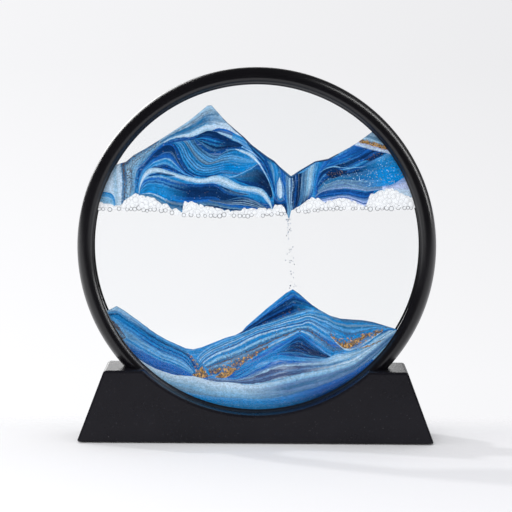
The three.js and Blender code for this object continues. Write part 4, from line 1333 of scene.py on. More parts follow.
bank_layer(
    "bank_right_lavender", 14,
    [(29, 26), (32, 29.2), (36, 31.2), (42, 32.8), (48, 31.8), (54, 30.3), (60, 30.6), (65, 30.5)],
    [(28.5, 25), (32, 27.6), (36, 28.8), (42, 29.4), (48, 29.2), (54, 28.4), (60, 29), (65, 29.6)],
    bands=[(0, "steel"), (0.25, "mauve"), (0.6, "steel"), (0.75, "lavender"), (0.9, "mauve")],
    threads=(0.4, 0.3), thread_dyes=("slate", "frost"),
)
bank_layer(
    "bank_right_lens", 15,
    [(28.8, 25.2), (32, 27.6), (36, 28.7), (42, 29.2), (48, 28.8), (54, 27.8), (58, 28.6)],
    [(29.5, 24.6), (33, 25.2), (38, 26), (43, 26.6), (48, 25.8), (53, 24.8), (57, 26)],
    bands=[(0, "cobalt"), (0.5, "royal"), (0.8, "cobalt")], threads=(0.35, 0.15),
    thread_dyes=("navy", "mauve"),
)
bank_layer(
    "bank_right_low", 16,
    [(31, 24.6), (34, 25.2), (39, 26), (43, 26.5), (48, 25.7), (53, 24.6), (56, 25.4)],
    [(31, 21), (36, 22.5), (42, 23.8), (47, 22.6), (51, 20.5), (54, 19), (56, 22)],
    bands=[(0, "mauve"), (0.2, "lavender"), (0.4, "cobalt"), (0.5, "lilac"), (0.75, "mauve")],
    threads=(0.4, 0.3), thread_dyes=("royal", "lilac"),
)
bank_layer(
    "bank_far_right", 17,
    [(62, 31), (66, 31.5), (70, 33.5), (74, 36), (80, 38)],
    [(62, 28), (66, 28), (70, 27), (75, 24.5), (81, 22)],
    bands=[(0, "lavender"), (0.2, "lilac"), (0.6, "white")], softness=0.1,
    threads=(0.25, 0.3), thread_dyes=("lavender", "white"),
)
bank_layer(
    "bank_right_crown", 17,
    [(51, 58), (58, 61), (68, 67)], [(51, 55.4), (58, 54), (64, 52), (68, 50.6)],
    bands=[(0, "slate"), (0.3, "steel"), (0.6, "frost"), (0.85, "steel")], softness=0.1,
    threads=(0.3, 0.3), thread_dyes=("slate", "white"),
)
sand_layer(
    "bank_gold_cap", "upper_gold_sand", 18,
    [(49, 58), (52, 56.8), (58, 55), (63.3, 53.3), (68, 51.7)],
    [(48, 51), (52, 50), (58, 48.4), (63.3, 47.2), (68, 46)],
    in_bank, slot="gold_sand",
    bands=[(0, "steel"), (0.2, "frost"), (0.36, "steel"), (0.44, "brown"), (0.7, "lilac"),
           (0.8, "white"), (0.94, "lavender")],
    flecks=[(0.34, 0.0), (0.46, 0.6), (0.66, 0.65), (0.74, 0.15), (0.8, 0.0)], grain_scale=1900.0,
    threads=(0.2, 0.3), thread_dyes=("steel", "white"),
)


# Bubbles: a raft of trapped air bubbles, about 2 mm across, that carries the bank; the funnel parts it.
# Packed bubbles make a white froth, lifted by a painted glow; those of the lowest row hang free, flattened
# between the panes.
# The curved edge of a flattened bubble bends the light away, so it shows as a thin grey line, drawn as grey
# rings of painted shade.
BUBBLE_LAYER_Y = 0.85
BUBBLE_HALF_DEPTH = 0.9
EDGE_THICKNESS = 0.13
EDGE_FROM_MM = 0.72
FROTH_HALF_DEPTH = 0.0006
FROTH_OVERLAP_MM = 0.6
LOW_ROW_LIFT_MM = 1.2
PACKED_EDGE_THICKNESS = 0.08
ROW_EDGE_Y = 0.7
PACKED_RADII_MM = (0.8, 1.5)
PACKING_TRIES = 9000
PACKING_CLOSENESS = 0.92
PACKING_OVERLAP_MM = 0.4
ROW_RADII_MM = (0.55, 1.15)
ROW_LIFTS_MM = (-0.4, 0.5)
ROW_SPACINGS = (0.9, 1.25)
FROTH_TOP_MM = 32
FROTH_LOW_MM = 13


def bubble_skin(name, dark, light, painted_glow):
    """A bubble's film, hazed between two shades, with a painted glow that stands in for the light it gathers
    from behind.
    """
    material, _, shader, _ = hazed_material(name, [(0.3, dark), (0.7, light)], Scale=500.0, Detail=2.0)
    shader.inputs["Roughness"].default_value = 0.2
    shader.inputs["Specular IOR Level"].default_value = 0.2
    # Painted light: the emission is a glow that stands in for the light that comes through from behind.
    shader.inputs["Emission Color"].default_value = display(252, 252, 254)
    shader.inputs["Emission Strength"].default_value = painted_glow
    return material


bubble_film = bubble_skin("bubble_film", display(158, 162, 166), display(172, 176, 180), painted_glow=0.56)
bubble_edge_shade = bubble_skin("bubble_edge_shade", display(112, 114, 118), display(168, 170, 174), painted_glow=0.0)
packed_edge_shade = bubble_skin("packed_edge_shade", display(150, 154, 158), display(170, 174, 178), painted_glow=0.25)


def bubble_places(seed, from_x, to_x, base_line, sizes):
    """Packs round bubbles between the raft's lower line and the bank, as (x, z, radius) in millimetres."""
    chance = random.Random(seed)
    places = []
    for _ in range(PACKING_TRIES):
        x = chance.uniform(from_x, to_x)
        radius = chance.uniform(*sizes)
        low = line_height(x, base_line) + LOW_ROW_LIFT_MM + radius
        high = bubble_line(x) + PACKING_OVERLAP_MM
        if high < low:
            continue
        z = chance.uniform(low, high)
        if math.hypot(x, z) + radius > fill_radius_mm:
            continue
        clear_of_others = all(
            math.hypot(x - other_x, z - other_z) > PACKING_CLOSENESS * (radius + other_radius)
            for other_x, other_z, other_radius in places
        )
        if clear_of_others:
            places.append((x, z, radius))
    return places


def low_row(seed, from_x, to_x, base_line, sizes):
    """The free lowest row, side by side along the raft's lower line, as (x, z, radius) in millimetres."""
    chance = random.Random(seed)
    places = []
    x = from_x
    while x < to_x:
        radius = chance.uniform(*sizes)
        x += radius
        z = line_height(x, base_line) + radius + chance.uniform(*ROW_LIFTS_MM)
        if math.hypot(x, z) + radius < fill_radius_mm:
            places.append((x, z, radius))
        x += radius * chance.uniform(*ROW_SPACINGS)
    return places


def joined_copies(name, model, places):
    """One object made of copies of a small model, each moved to its (point, scale)."""
    copies = []
    for point, scale in places:
        copy = bpy.data.objects.new(name, model.data.copy())
        copy.data.transform(Matrix.Translation(point) @ Matrix.Diagonal((*scale, 1)))
        bpy.context.collection.objects.link(copy)
        copies.append(copy)
    bpy.data.objects.remove(model)
    bpy.ops.object.select_all(action="DESELECT")
    for copy in copies:
        copy.select_set(True)
    bpy.context.view_layer.objects.active = copies[0]
    bpy.ops.object.join()
    joined = bpy.context.object
    joined.name = name
    return joined


def raft_piece(piece, node_name, material):
    """Gives one piece of a raft its material and body, and hides the part that it stands for."""
    piece.data.materials.append(material)
    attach(piece, "ring")
    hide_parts(node_name)


def bubble_raft(name, node_name, seed, from_x, to_x, base_line):
    """One raft from from_x to to_x: its bubbles, grey rings of painted shade at their edges, and the froth
    behind.
    """
    row = low_row(seed, from_x, to_x, base_line, ROW_RADII_MM)
    packed = []
    for layer_y in (-BUBBLE_LAYER_Y, BUBBLE_LAYER_Y):
        for x, z, radius in bubble_places(seed + layer_y, from_x, to_x, base_line, PACKED_RADII_MM):
            packed.append((Vector((x, layer_y, z)), radius))
    raised = Vector((0, 0, ring_height))
    places = []
    for point, radius in packed:
        depth = min(radius, BUBBLE_HALF_DEPTH)
        places.append((raised + point * MM, (radius * MM, depth * MM, radius * MM)))
    for x, z, radius in row:
        places.append((raised + Vector((x, 0, z)) * MM, (radius * MM, FROTH_HALF_DEPTH, radius * MM)))
    bpy.ops.object.select_all(action="DESELECT")
    bpy.ops.mesh.primitive_uv_sphere_add(segments=10, ring_count=6, radius=1)
    bpy.ops.object.shade_smooth()
    raft_piece(joined_copies(name, bpy.context.object, places), node_name, bubble_film)

    # Grey rings at the bubbles' edges are painted shade for the light bent away there.
    row_edge_shades = []
    for x, z, radius in row:
        if radius < EDGE_FROM_MM:
            continue
        for side in (-1, 1):
            row_edge_shades.append((raised + Vector((x, side * ROW_EDGE_Y, z)) * MM, (radius * MM,) * 3))
    packed_edge_shades = [(raised + point * MM, (radius * MM,) * 3) for point, radius in packed]
    for ending, edges, thickness, material in (
        ("_edges", row_edge_shades, EDGE_THICKNESS, bubble_edge_shade),
        ("_packed_edge_shades", packed_edge_shades, PACKED_EDGE_THICKNESS, packed_edge_shade),
    ):
        bpy.ops.object.select_all(action="DESELECT")
        bpy.ops.mesh.primitive_torus_add(
            major_segments=14, minor_segments=4, major_radius=1, minor_radius=thickness,
            rotation=(math.pi / 2, 0, 0),
        )
        bpy.ops.object.transform_apply(location=False, rotation=True, scale=False)
        bpy.ops.object.shade_smooth()
        raft_piece(joined_copies(name + ending, bpy.context.object, edges), node_name, material)

    def in_froth(x, z):
        """Whether a place lies in the froth: under the bank, over the lowest row and inside the cell."""
        below_bank = (z < bubble_line(x) + FROTH_OVERLAP_MM) & (x > from_x) & (x < to_x)
        above_row = z > line_height(x, base_line) + LOW_ROW_LIFT_MM
        return below_bank & above_row & (np.hypot(x, z) < fill_radius_mm)

    # The froth is a flat sheet in the bubbles' film, so its white is partly the film's painted glow.
    sand_layer(
        name + "_froth", node_name, 0,
        [(from_x, FROTH_TOP_MM), (to_x, FROTH_TOP_MM)], [(from_x, FROTH_LOW_MM), (to_x, FROTH_LOW_MM)],
        in_froth, slot="bubble_film", rows=2, depth=FROTH_HALF_DEPTH, material=bubble_film,
    )


RAFT_LINE_LEFT = [(-80, 17.6), (-60, 17.6), (-45, 16.8), (-38, 15.2), (-20, 14.6), (-3, 14.8), (12, 15.6)]
RAFT_LINE_RIGHT = [(19, 16.6), (24, 17.2), (34, 18.4), (45, 18.8), (60, 18.4), (80, 19)]
bubble_raft(
    "air_bubbles_left", "bubble_raft_left", seed=11, from_x=-79, to_x=13.5, base_line=RAFT_LINE_LEFT
)
bubble_raft(
    "air_bubbles_right", "bubble_raft_right", seed=23, from_x=19.5, to_x=79, base_line=RAFT_LINE_RIGHT
)


# Falling sand: a thin stream of pale grains that runs from the funnel down to the peak below it.
# The grains are loose and far apart, and closest together under the funnel.
GRAIN_COUNT = 64
STREAM_TOP = (15.9, 14.0)
STREAM_END = (18.0, -20.8)
STREAM_SPREAD_MM = 0.7
STREAM_HALF_DEPTH_MM = 1.2
STREAM_BUNCHING = 1.7
EVEN_GRAIN_EVERY = 4
GRAIN_RADII_MM = (0.13, 0.32)
GRAIN_STRETCH = (0.8, 1.5)
STREAM_SEED = 5

stream_chance = random.Random(STREAM_SEED)
bpy.ops.object.select_all(action="DESELECT")
bpy.ops.mesh.primitive_ico_sphere_add(subdivisions=1, radius=1)
stream_model = bpy.context.object
stream_places = []
for number in range(GRAIN_COUNT):
    fall = stream_chance.random()
    fall = fall ** STREAM_BUNCHING if number % EVEN_GRAIN_EVERY else fall
    drift = (STREAM_END[0] - STREAM_TOP[0]) * fall ** 2
    x = STREAM_TOP[0] + drift + stream_chance.gauss(0, STREAM_SPREAD_MM + STREAM_SPREAD_MM * fall)
    z = STREAM_TOP[1] + (STREAM_END[1] - STREAM_TOP[1]) * fall
    y = stream_chance.uniform(-STREAM_HALF_DEPTH_MM, STREAM_HALF_DEPTH_MM)
    size = stream_chance.uniform(*GRAIN_RADII_MM) * MM
    scale = (size, size, size * stream_chance.uniform(*GRAIN_STRETCH))
    stream_places.append((Vector((x * MM, y * MM, ring_height + z * MM)), scale))
stream = joined_copies("falling_grains", stream_model, stream_places)

loose_sand, _, loose_shader, _ = hazed_material(
    "loose_sand",
    [(0.35, display(96, 112, 136)), (0.52, display(168, 182, 200)), (0.62, display(58, 66, 84))],
    Scale=900.0, Detail=1.0,
)
loose_shader.inputs["Roughness"].default_value = 0.6
stream.data.materials.append(loose_sand)
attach(stream, "ring")
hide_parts("falling_sand")


# Lower sand: the range that has fallen so far, in long even strata that follow the slopes as they grew.
# Gold grains gather in its hollows, a pale drift lies in front of it, and deep blue sand lines the bottom.
RANGE_CREST = [
    (-82, -35), (-73.3, -32), (-69.8, -30.2), (-66.2, -32.3), (-60, -36.7), (-50, -44.1), (-45.1, -46.9),
    (-35.3, -51.3), (-31.5, -51.8), (-27.2, -50.7), (-15.2, -45.8), (-10.3, -44.4), (-7, -42.5),
    (-5.1, -40.1), (5, -31.1), (14.7, -23.1), (18.1, -21.2), (21.2, -23.3), (27.5, -28.8), (31.3, -31.3),
    (36.7, -34.3), (42, -35.8), (47.5, -36.2), (53, -36.5), (58.3, -37.4), (63.7, -39), (69.3, -40.7),
    (82, -44.4),
]


def in_range(x, z):
    """Whether a place lies in the range: under its crest and inside the cell."""
    return (z < line_height(x, RANGE_CREST)) & (np.hypot(x, z) < fill_radius_mm)


def range_layer(name, order, upper, lower, node_name="lower_sand", slot="blue_sand", **streaks):
    """One layer of the range."""
    sand_layer(name, node_name, order, upper, lower, in_range, slot=slot, **streaks)


RANGE_FACE = [
    (-30.6, -62), (-30.2, -57.6), (-28, -53.6), (-24, -50.4), (-20.1, -48.4), (-15.2, -46),
    (-10.3, -44.4), (-7, -43), (0, -39.8), (5.3, -38.3), (15.3, -34.7), (23.5, -32), (27.1, -31.1),
    (30.6, -31.8), (35.3, -32.6), (39.5, -35), (51.3, -36.1), (59.5, -37.4), (69.3, -40.4), (75, -42),
]
RANGE_MIDDLE = [
    (-29.8, -63.2), (-28.4, -60.4), (-25.4, -57), (-20, -53.4), (-10.7, -49.6), (-1.8, -44.8),
    (7, -41.8), (15.9, -39.5), (22.4, -38.3), (25.9, -37.1), (29.4, -38.3), (34.2, -41.3), (39.5, -44.2),
    (46, -47.5), (50, -46.5), (55, -43.8), (60, -41), (66, -39.8), (72, -39.5),
]
RANGE_LOW = [
    (-29, -64.6), (-24, -63.8), (-17, -62.6), (-10.7, -61), (-4.8, -58.8), (1.1, -56.2), (7, -52.9),
    (13.4, -49), (18, -46), (22, -43.4), (24.6, -45.2), (28.5, -48.3), (33, -51.7), (37.7, -54.9),
    (39.5, -53.8), (48.3, -52), (54.2, -49.6), (60.1, -44.8), (66, -41.2),
]
SMALL_PEAK_FOOT = [
    (-10.7, -65.7), (-4.8, -62.5), (1.1, -58.5), (7, -55.3), (11, -54), (14.7, -54), (20, -54.9),
    (27, -55.8), (34.2, -55.7), (38.3, -54.9),
]
SMALL_PEAK_TOP = RANGE_LOW[3:14]
DRIFT_TOP = [
    (-66, -52), (-60, -55.5), (-50, -61.2), (-40, -64.2), (-30, -65), (-24, -66.8), (-19, -67.6),
    (-12, -68), (-4.4, -69), (1.1, -68.8), (10, -67.2), (15.9, -65.6), (24.7, -63.4), (33.6, -61.4),
    (42.4, -59.1), (48.3, -57.3), (54.2, -53.2), (60.1, -48.4), (64.8, -44.2), (70, -41),
]
FOLDS_FOOT = DRIFT_TOP[5:]
range_layer(
    "range_body", 0,
    [(-82, -32), (-30, -50), (18, -20), (82, -40)], [(-82, -82), (-30, -84), (18, -84), (82, -82)],
    bands=[(0, "azure"), (0.3, "royal"), (0.6, "azure"), (0.8, "royal")],
)
range_layer(
    "range_left_slope", 1,
    [(-80, -34), (-69.8, -30.1), (-66.2, -32.3), (-60, -36.7), (-50, -44.1), (-45, -46.9), (-37, -50.7),
     (-33.4, -53.4), (-31.4, -57), (-30.4, -61), (-29.6, -64.4)],
    [(-76, -46), (-68, -52), (-62, -55), (-55, -58.5), (-50, -61), (-45, -62.5), (-39, -64.3),
     (-34, -65), (-29.6, -65)],
    bands=[(0, "frost"), (0.1, "sky"), (0.16, "navy"), (0.19, "azure"), (0.3, "sky"), (0.42, "steel"),
           (0.5, "pale"), (0.6, "sky"), (0.68, "pale"), (0.76, "sky"), (0.82, "cobalt"), (0.9, "royal")],
    far_bands=[(0, "sky"), (0.03, "teal"), (0.1, "navy"), (0.15, "azure"), (0.24, "cobalt"),
               (0.28, "azure"), (0.36, "cobalt"), (0.39, "sky"), (0.47, "pale"), (0.5, "sky"),
               (0.58, "pale"), (0.6, "azure"), (0.68, "sky"), (0.7, "royal"), (0.93, "cobalt")],
    turn=(0.1, 0.5), threads=(0.35, 0.25), thread_dyes=("navy", "sky"), lines=9, line_strength=0.3, rows=14,
    line_dye="cobalt", waver=0.05,
)
range_layer(
    "range_back_face", 2,
    [(-9, -43.8), (-5.1, -40.1), (5, -31.1), (14.7, -23.1), (18.1, -21), (21.2, -22.9), (28.3, -28.3),
     (36, -32.6)],
    [(-8, -43.6), (-3, -41.6), (3, -39.4), (9, -37), (15.3, -35), (20, -33.4), (27.1, -31.3), (36, -33.2)],
    bands=[(0, "azure"), (0.1, "royal"), (0.14, "sky"), (0.2, "royal"), (0.3, "navy"), (0.55, "cobalt"),
           (0.64, "ink"), (0.8, "cobalt"), (0.9, "slate")],
    far_bands=[(0, "teal"), (0.2, "cobalt"), (0.4, "teal"), (0.6, "azure"), (0.8, "sky")], turn=(0.6, 0.82),
    flecks=[(0.7, 0.0), (0.86, 0.12), (1.0, 0.1)], fleck_dye="brown", threads=(0.6, 0.25),
    thread_dyes=("ink", "sky"),
)
range_layer(
    "range_face", 3,
    RANGE_FACE, RANGE_MIDDLE,
    bands=[(0, "pale"), (0.07, "sky"), (0.14, "azure"), (0.28, "pale"), (0.34, "teal"), (0.46, "frost"),
           (0.54, "azure"), (0.68, "sky"), (0.76, "pale"), (0.82, "cobalt"), (0.92, "azure")],
    far_bands=[(0, "slate"), (0.12, "azure"), (0.22, "steel"), (0.32, "teal"), (0.42, "sky"),
               (0.56, "slate"), (0.66, "azure"), (0.8, "sky"), (0.92, "pale")],
    turn=(0.56, 0.72), threads=(0.4, 0.2), thread_dyes=("cobalt", "frost"),
    flecks=[(0, 0.01), (0.5, 0.02), (1.0, 0.06)], fleck_dye="brown", rows=14, waver=0.1,
)
range_layer(
    "range_shoulder", 4,
    RANGE_MIDDLE, RANGE_LOW,
    bands=[(0, "frost"), (0.08, "azure"), (0.24, "pale"), (0.36, "teal"), (0.48, "brown"), (0.54, "sky"),
           (0.66, "frost"), (0.72, "azure"), (0.86, "royal")],
    far_bands=[(0, "sky"), (0.12, "azure"), (0.3, "royal"), (0.5, "slate"), (0.7, "azure"), (0.9, "sky")],
    turn=(0.55, 0.7), flecks=[(0, 0.01), (0.3, 0.04), (0.5, 0.2), (0.62, 0.06), (1.0, 0.03)],
    fleck_dye="brown", threads=(0.4, 0.2), thread_dyes=("cobalt", "frost"), rows=14, waver=0.1,
)
range_layer(
    "range_small_peak", 5,
    SMALL_PEAK_TOP, SMALL_PEAK_FOOT,
    bands=[(0, "sky"), (0.12, "azure"), (0.4, "royal"), (0.55, "azure"), (0.85, "royal")],
    far_bands=[(0, "azure"), (0.06, "cobalt"), (0.14, "navy"), (0.4, "ink"), (0.62, "navy"),
               (0.76, "teal"), (0.86, "cobalt")],
    turn=(0.44, 0.58), lines=6, line_strength=0.35, line_dye="royal", threads=(0.5, 0.35),
    thread_dyes=("ink", "azure"), flecks=[(0, 0.0), (0.4, 0.03), (0.8, 0.05)], fleck_dye="steel", rows=12,
)
range_layer(
    "range_folds", 6,
    [(-24, -65.2), (-10.7, -65.5), (-4.8, -62.3), (1.1, -58.3), (7, -55.1), (11, -53.9), (20, -54.8),
     (34.2, -55.5), (39.5, -53.8), (48.3, -52), (54.2, -49.6), (60.1, -44.8), (66, -41.2)],
    FOLDS_FOOT,
    bands=[(0, "azure"), (0.14, "sky"), (0.22, "royal"), (0.34, "mauve"), (0.44, "frost"), (0.5, "dusk"),
           (0.66, "mauve"), (0.74, "dusk"), (0.94, "pale")],
    far_bands=[(0, "pale"), (0.2, "frost"), (0.5, "pale"), (0.62, "azure"), (0.68, "frost"),
               (0.8, "white"), (0.92, "pale")],
    turn=(0.48, 0.7), threads=(0.5, 0.4), thread_dyes=("slate", "white"), waver=0.16, rows=12,
)
range_layer(
    "pale_drift", 7,
    DRIFT_TOP,
    [(-70, -58), (-62, -64), (-50, -71), (-38, -76), (-26, -80), (-14, -82), (0, -83), (14, -82),
     (26, -80), (40, -74), (50, -67), (58, -60), (64, -54), (72, -46)],
    node_name="drift_sand", slot="pale_sand",
    bands=[(0, "white"), (0.16, "frost"), (0.38, "pale"), (0.5, "steel"), (0.66, "sky")],
    far_bands=[(0, "frost"), (0.08, "pale"), (0.14, "mauve"), (0.22, "slate"), (0.36, "mauve"),
               (0.44, "slate"), (0.54, "pale"), (0.62, "mauve"), (0.76, "pale"), (0.9, "mauve")],
    turn=(0.42, 0.58), threads=(0.25, 0.25), thread_dyes=("slate", "frost"), softness=0.1, rows=12,
)
# The bed's bands darken towards its right end by the ring, partly as painted shade of the ring.
range_layer(
    "deep_bed", 8,
    [(-56, -65), (-44, -70.4), (-32, -73.6), (-20, -75.2), (-10, -75.8), (0, -76), (10, -75.4),
     (18, -73.8), (26, -71.4), (37, -67.4), (47.5, -62.6), (58, -55.6)],
    [(-58, -68), (-46, -75), (-32, -80), (-15, -83), (0, -84), (12, -83), (22, -81), (32, -78),
     (42, -73), (52, -66), (62, -58)],
    node_name="bed_sand", slot="deep_sand",
    bands=[(0, "sky"), (0.12, "azure"), (0.4, "teal"), (0.8, "cobalt")],
    far_bands=[(0, "royal"), (0.2, "cobalt"), (0.45, "navy")], turn=(0.5, 0.75), softness=0.08,
    threads=(0.3, 0.15), thread_dyes=("cobalt", "sky"),
)
range_layer(
    "range_left_rust", 2,
    [(-77, -34.4), (-73, -34.6), (-70, -36), (-67, -40), (-65, -45)],
    [(-77, -40), (-74, -43), (-71, -46), (-68, -48), (-65, -46)],
    bands=[(0, "sky"), (0.25, "brown"), (0.4, "steel"), (0.6, "brown"), (0.75, "pale"), (0.9, "sky")],
    flecks=[(0, 0.02), (0.4, 0.12), (0.7, 0.1), (1.0, 0.0)], fleck_dye="brown",
    threads=(0.4, 0.5), thread_dyes=("slate", "frost"), softness=0.09, waver=0.3,
)


def gold_layer(side, name, order, upper, lower, **streaks):
    """One layer of gold grains among the blue sand, left or right of the small peak."""
    node_name = "gold_sand_" + side
    range_layer(name, order, upper, lower, node_name=node_name, slot="gold_sand", **streaks)


GOLD_HEAP = {
    "bands": [(0, "azure"), (0.15, "slate"), (0.4, "brown")],
    "flecks": [(0, 0.05), (0.2, 0.3), (0.5, 0.55), (0.9, 0.6)],
    "threads": (0.5, 0.1),
    "softness": 0.12,
    "waver": 0.4,
    "grain_scale": 1600.0,
}
gold_layer(
    "left", "gold_left_plume", 9,
    [(-24, -61), (-19, -58.6), (-15, -58), (-11, -55.6), (-6, -53.4), (0, -51), (6, -48.6)],
    [(-25, -65), (-20, -65), (-15, -64.8), (-10, -62.4), (-5, -58.4), (0, -54.8), (6, -50.4)],
    bands=[(0, "steel"), (0.2, "slate"), (0.35, "brown"), (0.6, "dusk"), (0.8, "azure")], softness=0.08,
    flecks=[(0, 0.03), (0.3, 0.18), (0.6, 0.32), (0.85, 0.12), (1.0, 0.02)],
    threads=(0.6, 0.35), thread_dyes=("cobalt", "pale"), grain_scale=1500.0,
)
gold_layer(
    "left", "gold_left_streak", 10,
    [(-34.6, -53.4), (-32.6, -56), (-31.4, -59), (-30, -62), (-27.6, -65.4)],
    [(-34.2, -53.2), (-30.2, -55.6), (-28, -58), (-25.4, -59.8), (-22, -65)],
    bands=[(0, "cobalt"), (0.4, "slate"), (0.7, "azure")],
    flecks=[(0, 0.04), (0.4, 0.25), (0.7, 0.3), (1.0, 0.06)],
    threads=(0.6, 0.2), grain_scale=1500.0,
)
gold_layer(
    "left", "gold_left_heap", 11,
    [(-32.2, -64), (-29.8, -61.6), (-27.2, -57.8), (-25.6, -60.8), (-23.6, -64.6)],
    [(-30, -65.2), (-28.6, -65.4), (-26.6, -65.5), (-25, -65.5), (-24, -65.3)],
    **GOLD_HEAP,
)
gold_layer(
    "left", "gold_middle_heap", 12,
    [(-20.2, -65), (-17.6, -62.4), (-14.6, -58.8), (-12.6, -59.4), (-9.6, -60.6)],
    [(-20.2, -65.4), (-17.6, -65.6), (-15.6, -65.6), (-13, -64.4), (-9.6, -61.2)],
    **GOLD_HEAP,
)
gold_layer(
    "right", "gold_right_shadow", 9,
    [(36, -42.5), (40, -43.6), (45, -44.4), (50, -43.4), (55, -41.8), (60, -40.2), (63, -39.6)],
    [(37, -44.5), (41, -48.6), (45, -51.4), (50, -50.6), (55, -47.6), (60, -44), (63, -41.6)],
    bands=[(0, "azure"), (0.3, "slate"), (0.6, "mauve"), (0.85, "frost")],
    flecks=[(0, 0.06), (0.3, 0.25), (0.7, 0.25), (1.0, 0.02)],
    threads=(0.5, 0.3), thread_dyes=("cobalt", "pale"), grain_scale=1500.0,
)
gold_layer(
    "right", "gold_right_heap", 10,
    [(40, -46.2), (42.5, -46.8), (45, -46.6), (48, -45.4), (52, -43.8), (57, -42)],
    [(40, -47), (42.5, -49.4), (45, -50.6), (48, -49.4), (52, -46.6), (57, -42.8)],
    **GOLD_HEAP,
)
gold_layer(
    "right", "gold_right_spot", 11,
    [(58, -41.4), (60, -40.6), (62, -40.6), (63.4, -41)],
    [(58, -41.6), (60, -42.6), (62, -42.2), (63.4, -41.2)],
    bands=[(0, "steel"), (0.5, "brown")],
    flecks=[(0, 0.1), (0.5, 0.42), (1.0, 0.15)], threads=(0.3, 0.1), grain_scale=1900.0,
)
gold_layer(
    "right", "gold_right_streak", 12,
    [(51, -50.2), (55, -48.6), (60, -46.4), (64.5, -44.6)],
    [(51, -50.6), (55, -50), (60, -48), (64.5, -45.2)],
    bands=[(0, "frost"), (0.3, "steel"), (0.6, "brown"), (0.8, "pale")], softness=0.1, waver=0.3,
    flecks=[(0, 0.02), (0.5, 0.4), (1.0, 0.05)], threads=(0.3, 0.4), grain_scale=1900.0,
)


# Studio: a white floor that fades into a white surround, with a hard key from behind on the left, a broad
# fill in front, a slim strip on the right that draws the bright line on the ring, and panels behind that
# light its outer rim at the upper left. The room in front is dark, and the floor there is painted dark for
# it.
# The near floor is painted a little darker to the right, as painted shade of the light falling off.
WHITE_LEFT = 0.975
WHITE_RIGHT = 0.895
LOWER_LIFT = 0.055
UPPER_LIFT = -0.04
WHITE_SURROUND = (WHITE_LEFT + WHITE_RIGHT) / 2
AMBIENT = 0.78
DARK_ROOM = 0.03
FLOOR_SIZE = 90.0
bpy.context.scene.view_settings.view_transform = "Standard"

surround = bpy.data.worlds.new("surround")
bpy.context.scene.world = surround
surround.use_nodes = True
surround_tree = surround.node_tree
surround_light = surround_tree.nodes["Background"]
surround_way = add_node(surround_tree, "TexCoord")
surround_parts = add_node(surround_tree, "SeparateXYZ")
surround_ray = add_node(surround_tree, "LightPath")
surround_seen = math_node(surround_tree, "MAXIMUM")
surround_mirrored = eased_range(
    surround_tree, start=0.9, end=1.03, To_Min=DARK_ROOM, To_Max=WHITE_SURROUND
)
surround_other = add_node(surround_tree, "Mix", {"data_type": "FLOAT"})
surround_other.inputs[2].default_value = AMBIENT
surround_white = add_node(
    surround_tree, "MapRange", From_Min=-0.12, From_Max=0.12, To_Min=WHITE_LEFT, To_Max=WHITE_RIGHT
)
surround_lift = add_node(
    surround_tree, "MapRange", From_Min=-0.16, From_Max=-0.0186, To_Min=LOWER_LIFT, To_Max=UPPER_LIFT
)
surround_sum = math_node(surround_tree, "ADD")
surround_level = add_node(surround_tree, "Mix", {"data_type": "FLOAT"})
surround_light.inputs["Color"].default_value = display(253, 253, 255)
wire(surround_tree, [
    (surround_way, "Generated", surround_parts, "Vector"),
    (surround_parts, "Y", surround_mirrored, "Value"),
    (surround_parts, "X", surround_white, "Value"),
    (surround_parts, "Z", surround_lift, "Value"),
    (surround_white, "Result", surround_sum, 0),
    (surround_lift, "Result", surround_sum, 1),
    (surround_sum, 0, surround_level, 3),
    (surround_ray, "Is Glossy Ray", surround_other, 0),
    (surround_mirrored, "Result", surround_other, 3),
    (surround_ray, "Is Camera Ray", surround_seen, 0),
    (surround_ray, "Is Transmission Ray", surround_seen, 1),
    (surround_seen, 0, surround_level, 0),
    (surround_other, 0, surround_level, 2),
    (surround_level, 0, surround_light, "Strength"),
])

bpy.ops.object.select_all(action="DESELECT")
bpy.ops.mesh.primitive_plane_add(size=FLOOR_SIZE)
floor = bpy.context.object
floor.name = "floor"
floor_white, floor_tree, floor_shader = new_material("floor_white")
floor_shader.inputs["Roughness"].default_value = 0.8
floor_shader.inputs["Specular IOR Level"].default_value = 0.0
floor_place = add_node(floor_tree, "TexCoord")
floor_parts = add_node(floor_tree, "SeparateXYZ")
# Painted shade: the floor is dark in front, beyond the frame, standing in for the unlit room there.
floor_front_shade = eased_range(floor_tree, start=-0.45, end=-0.28)
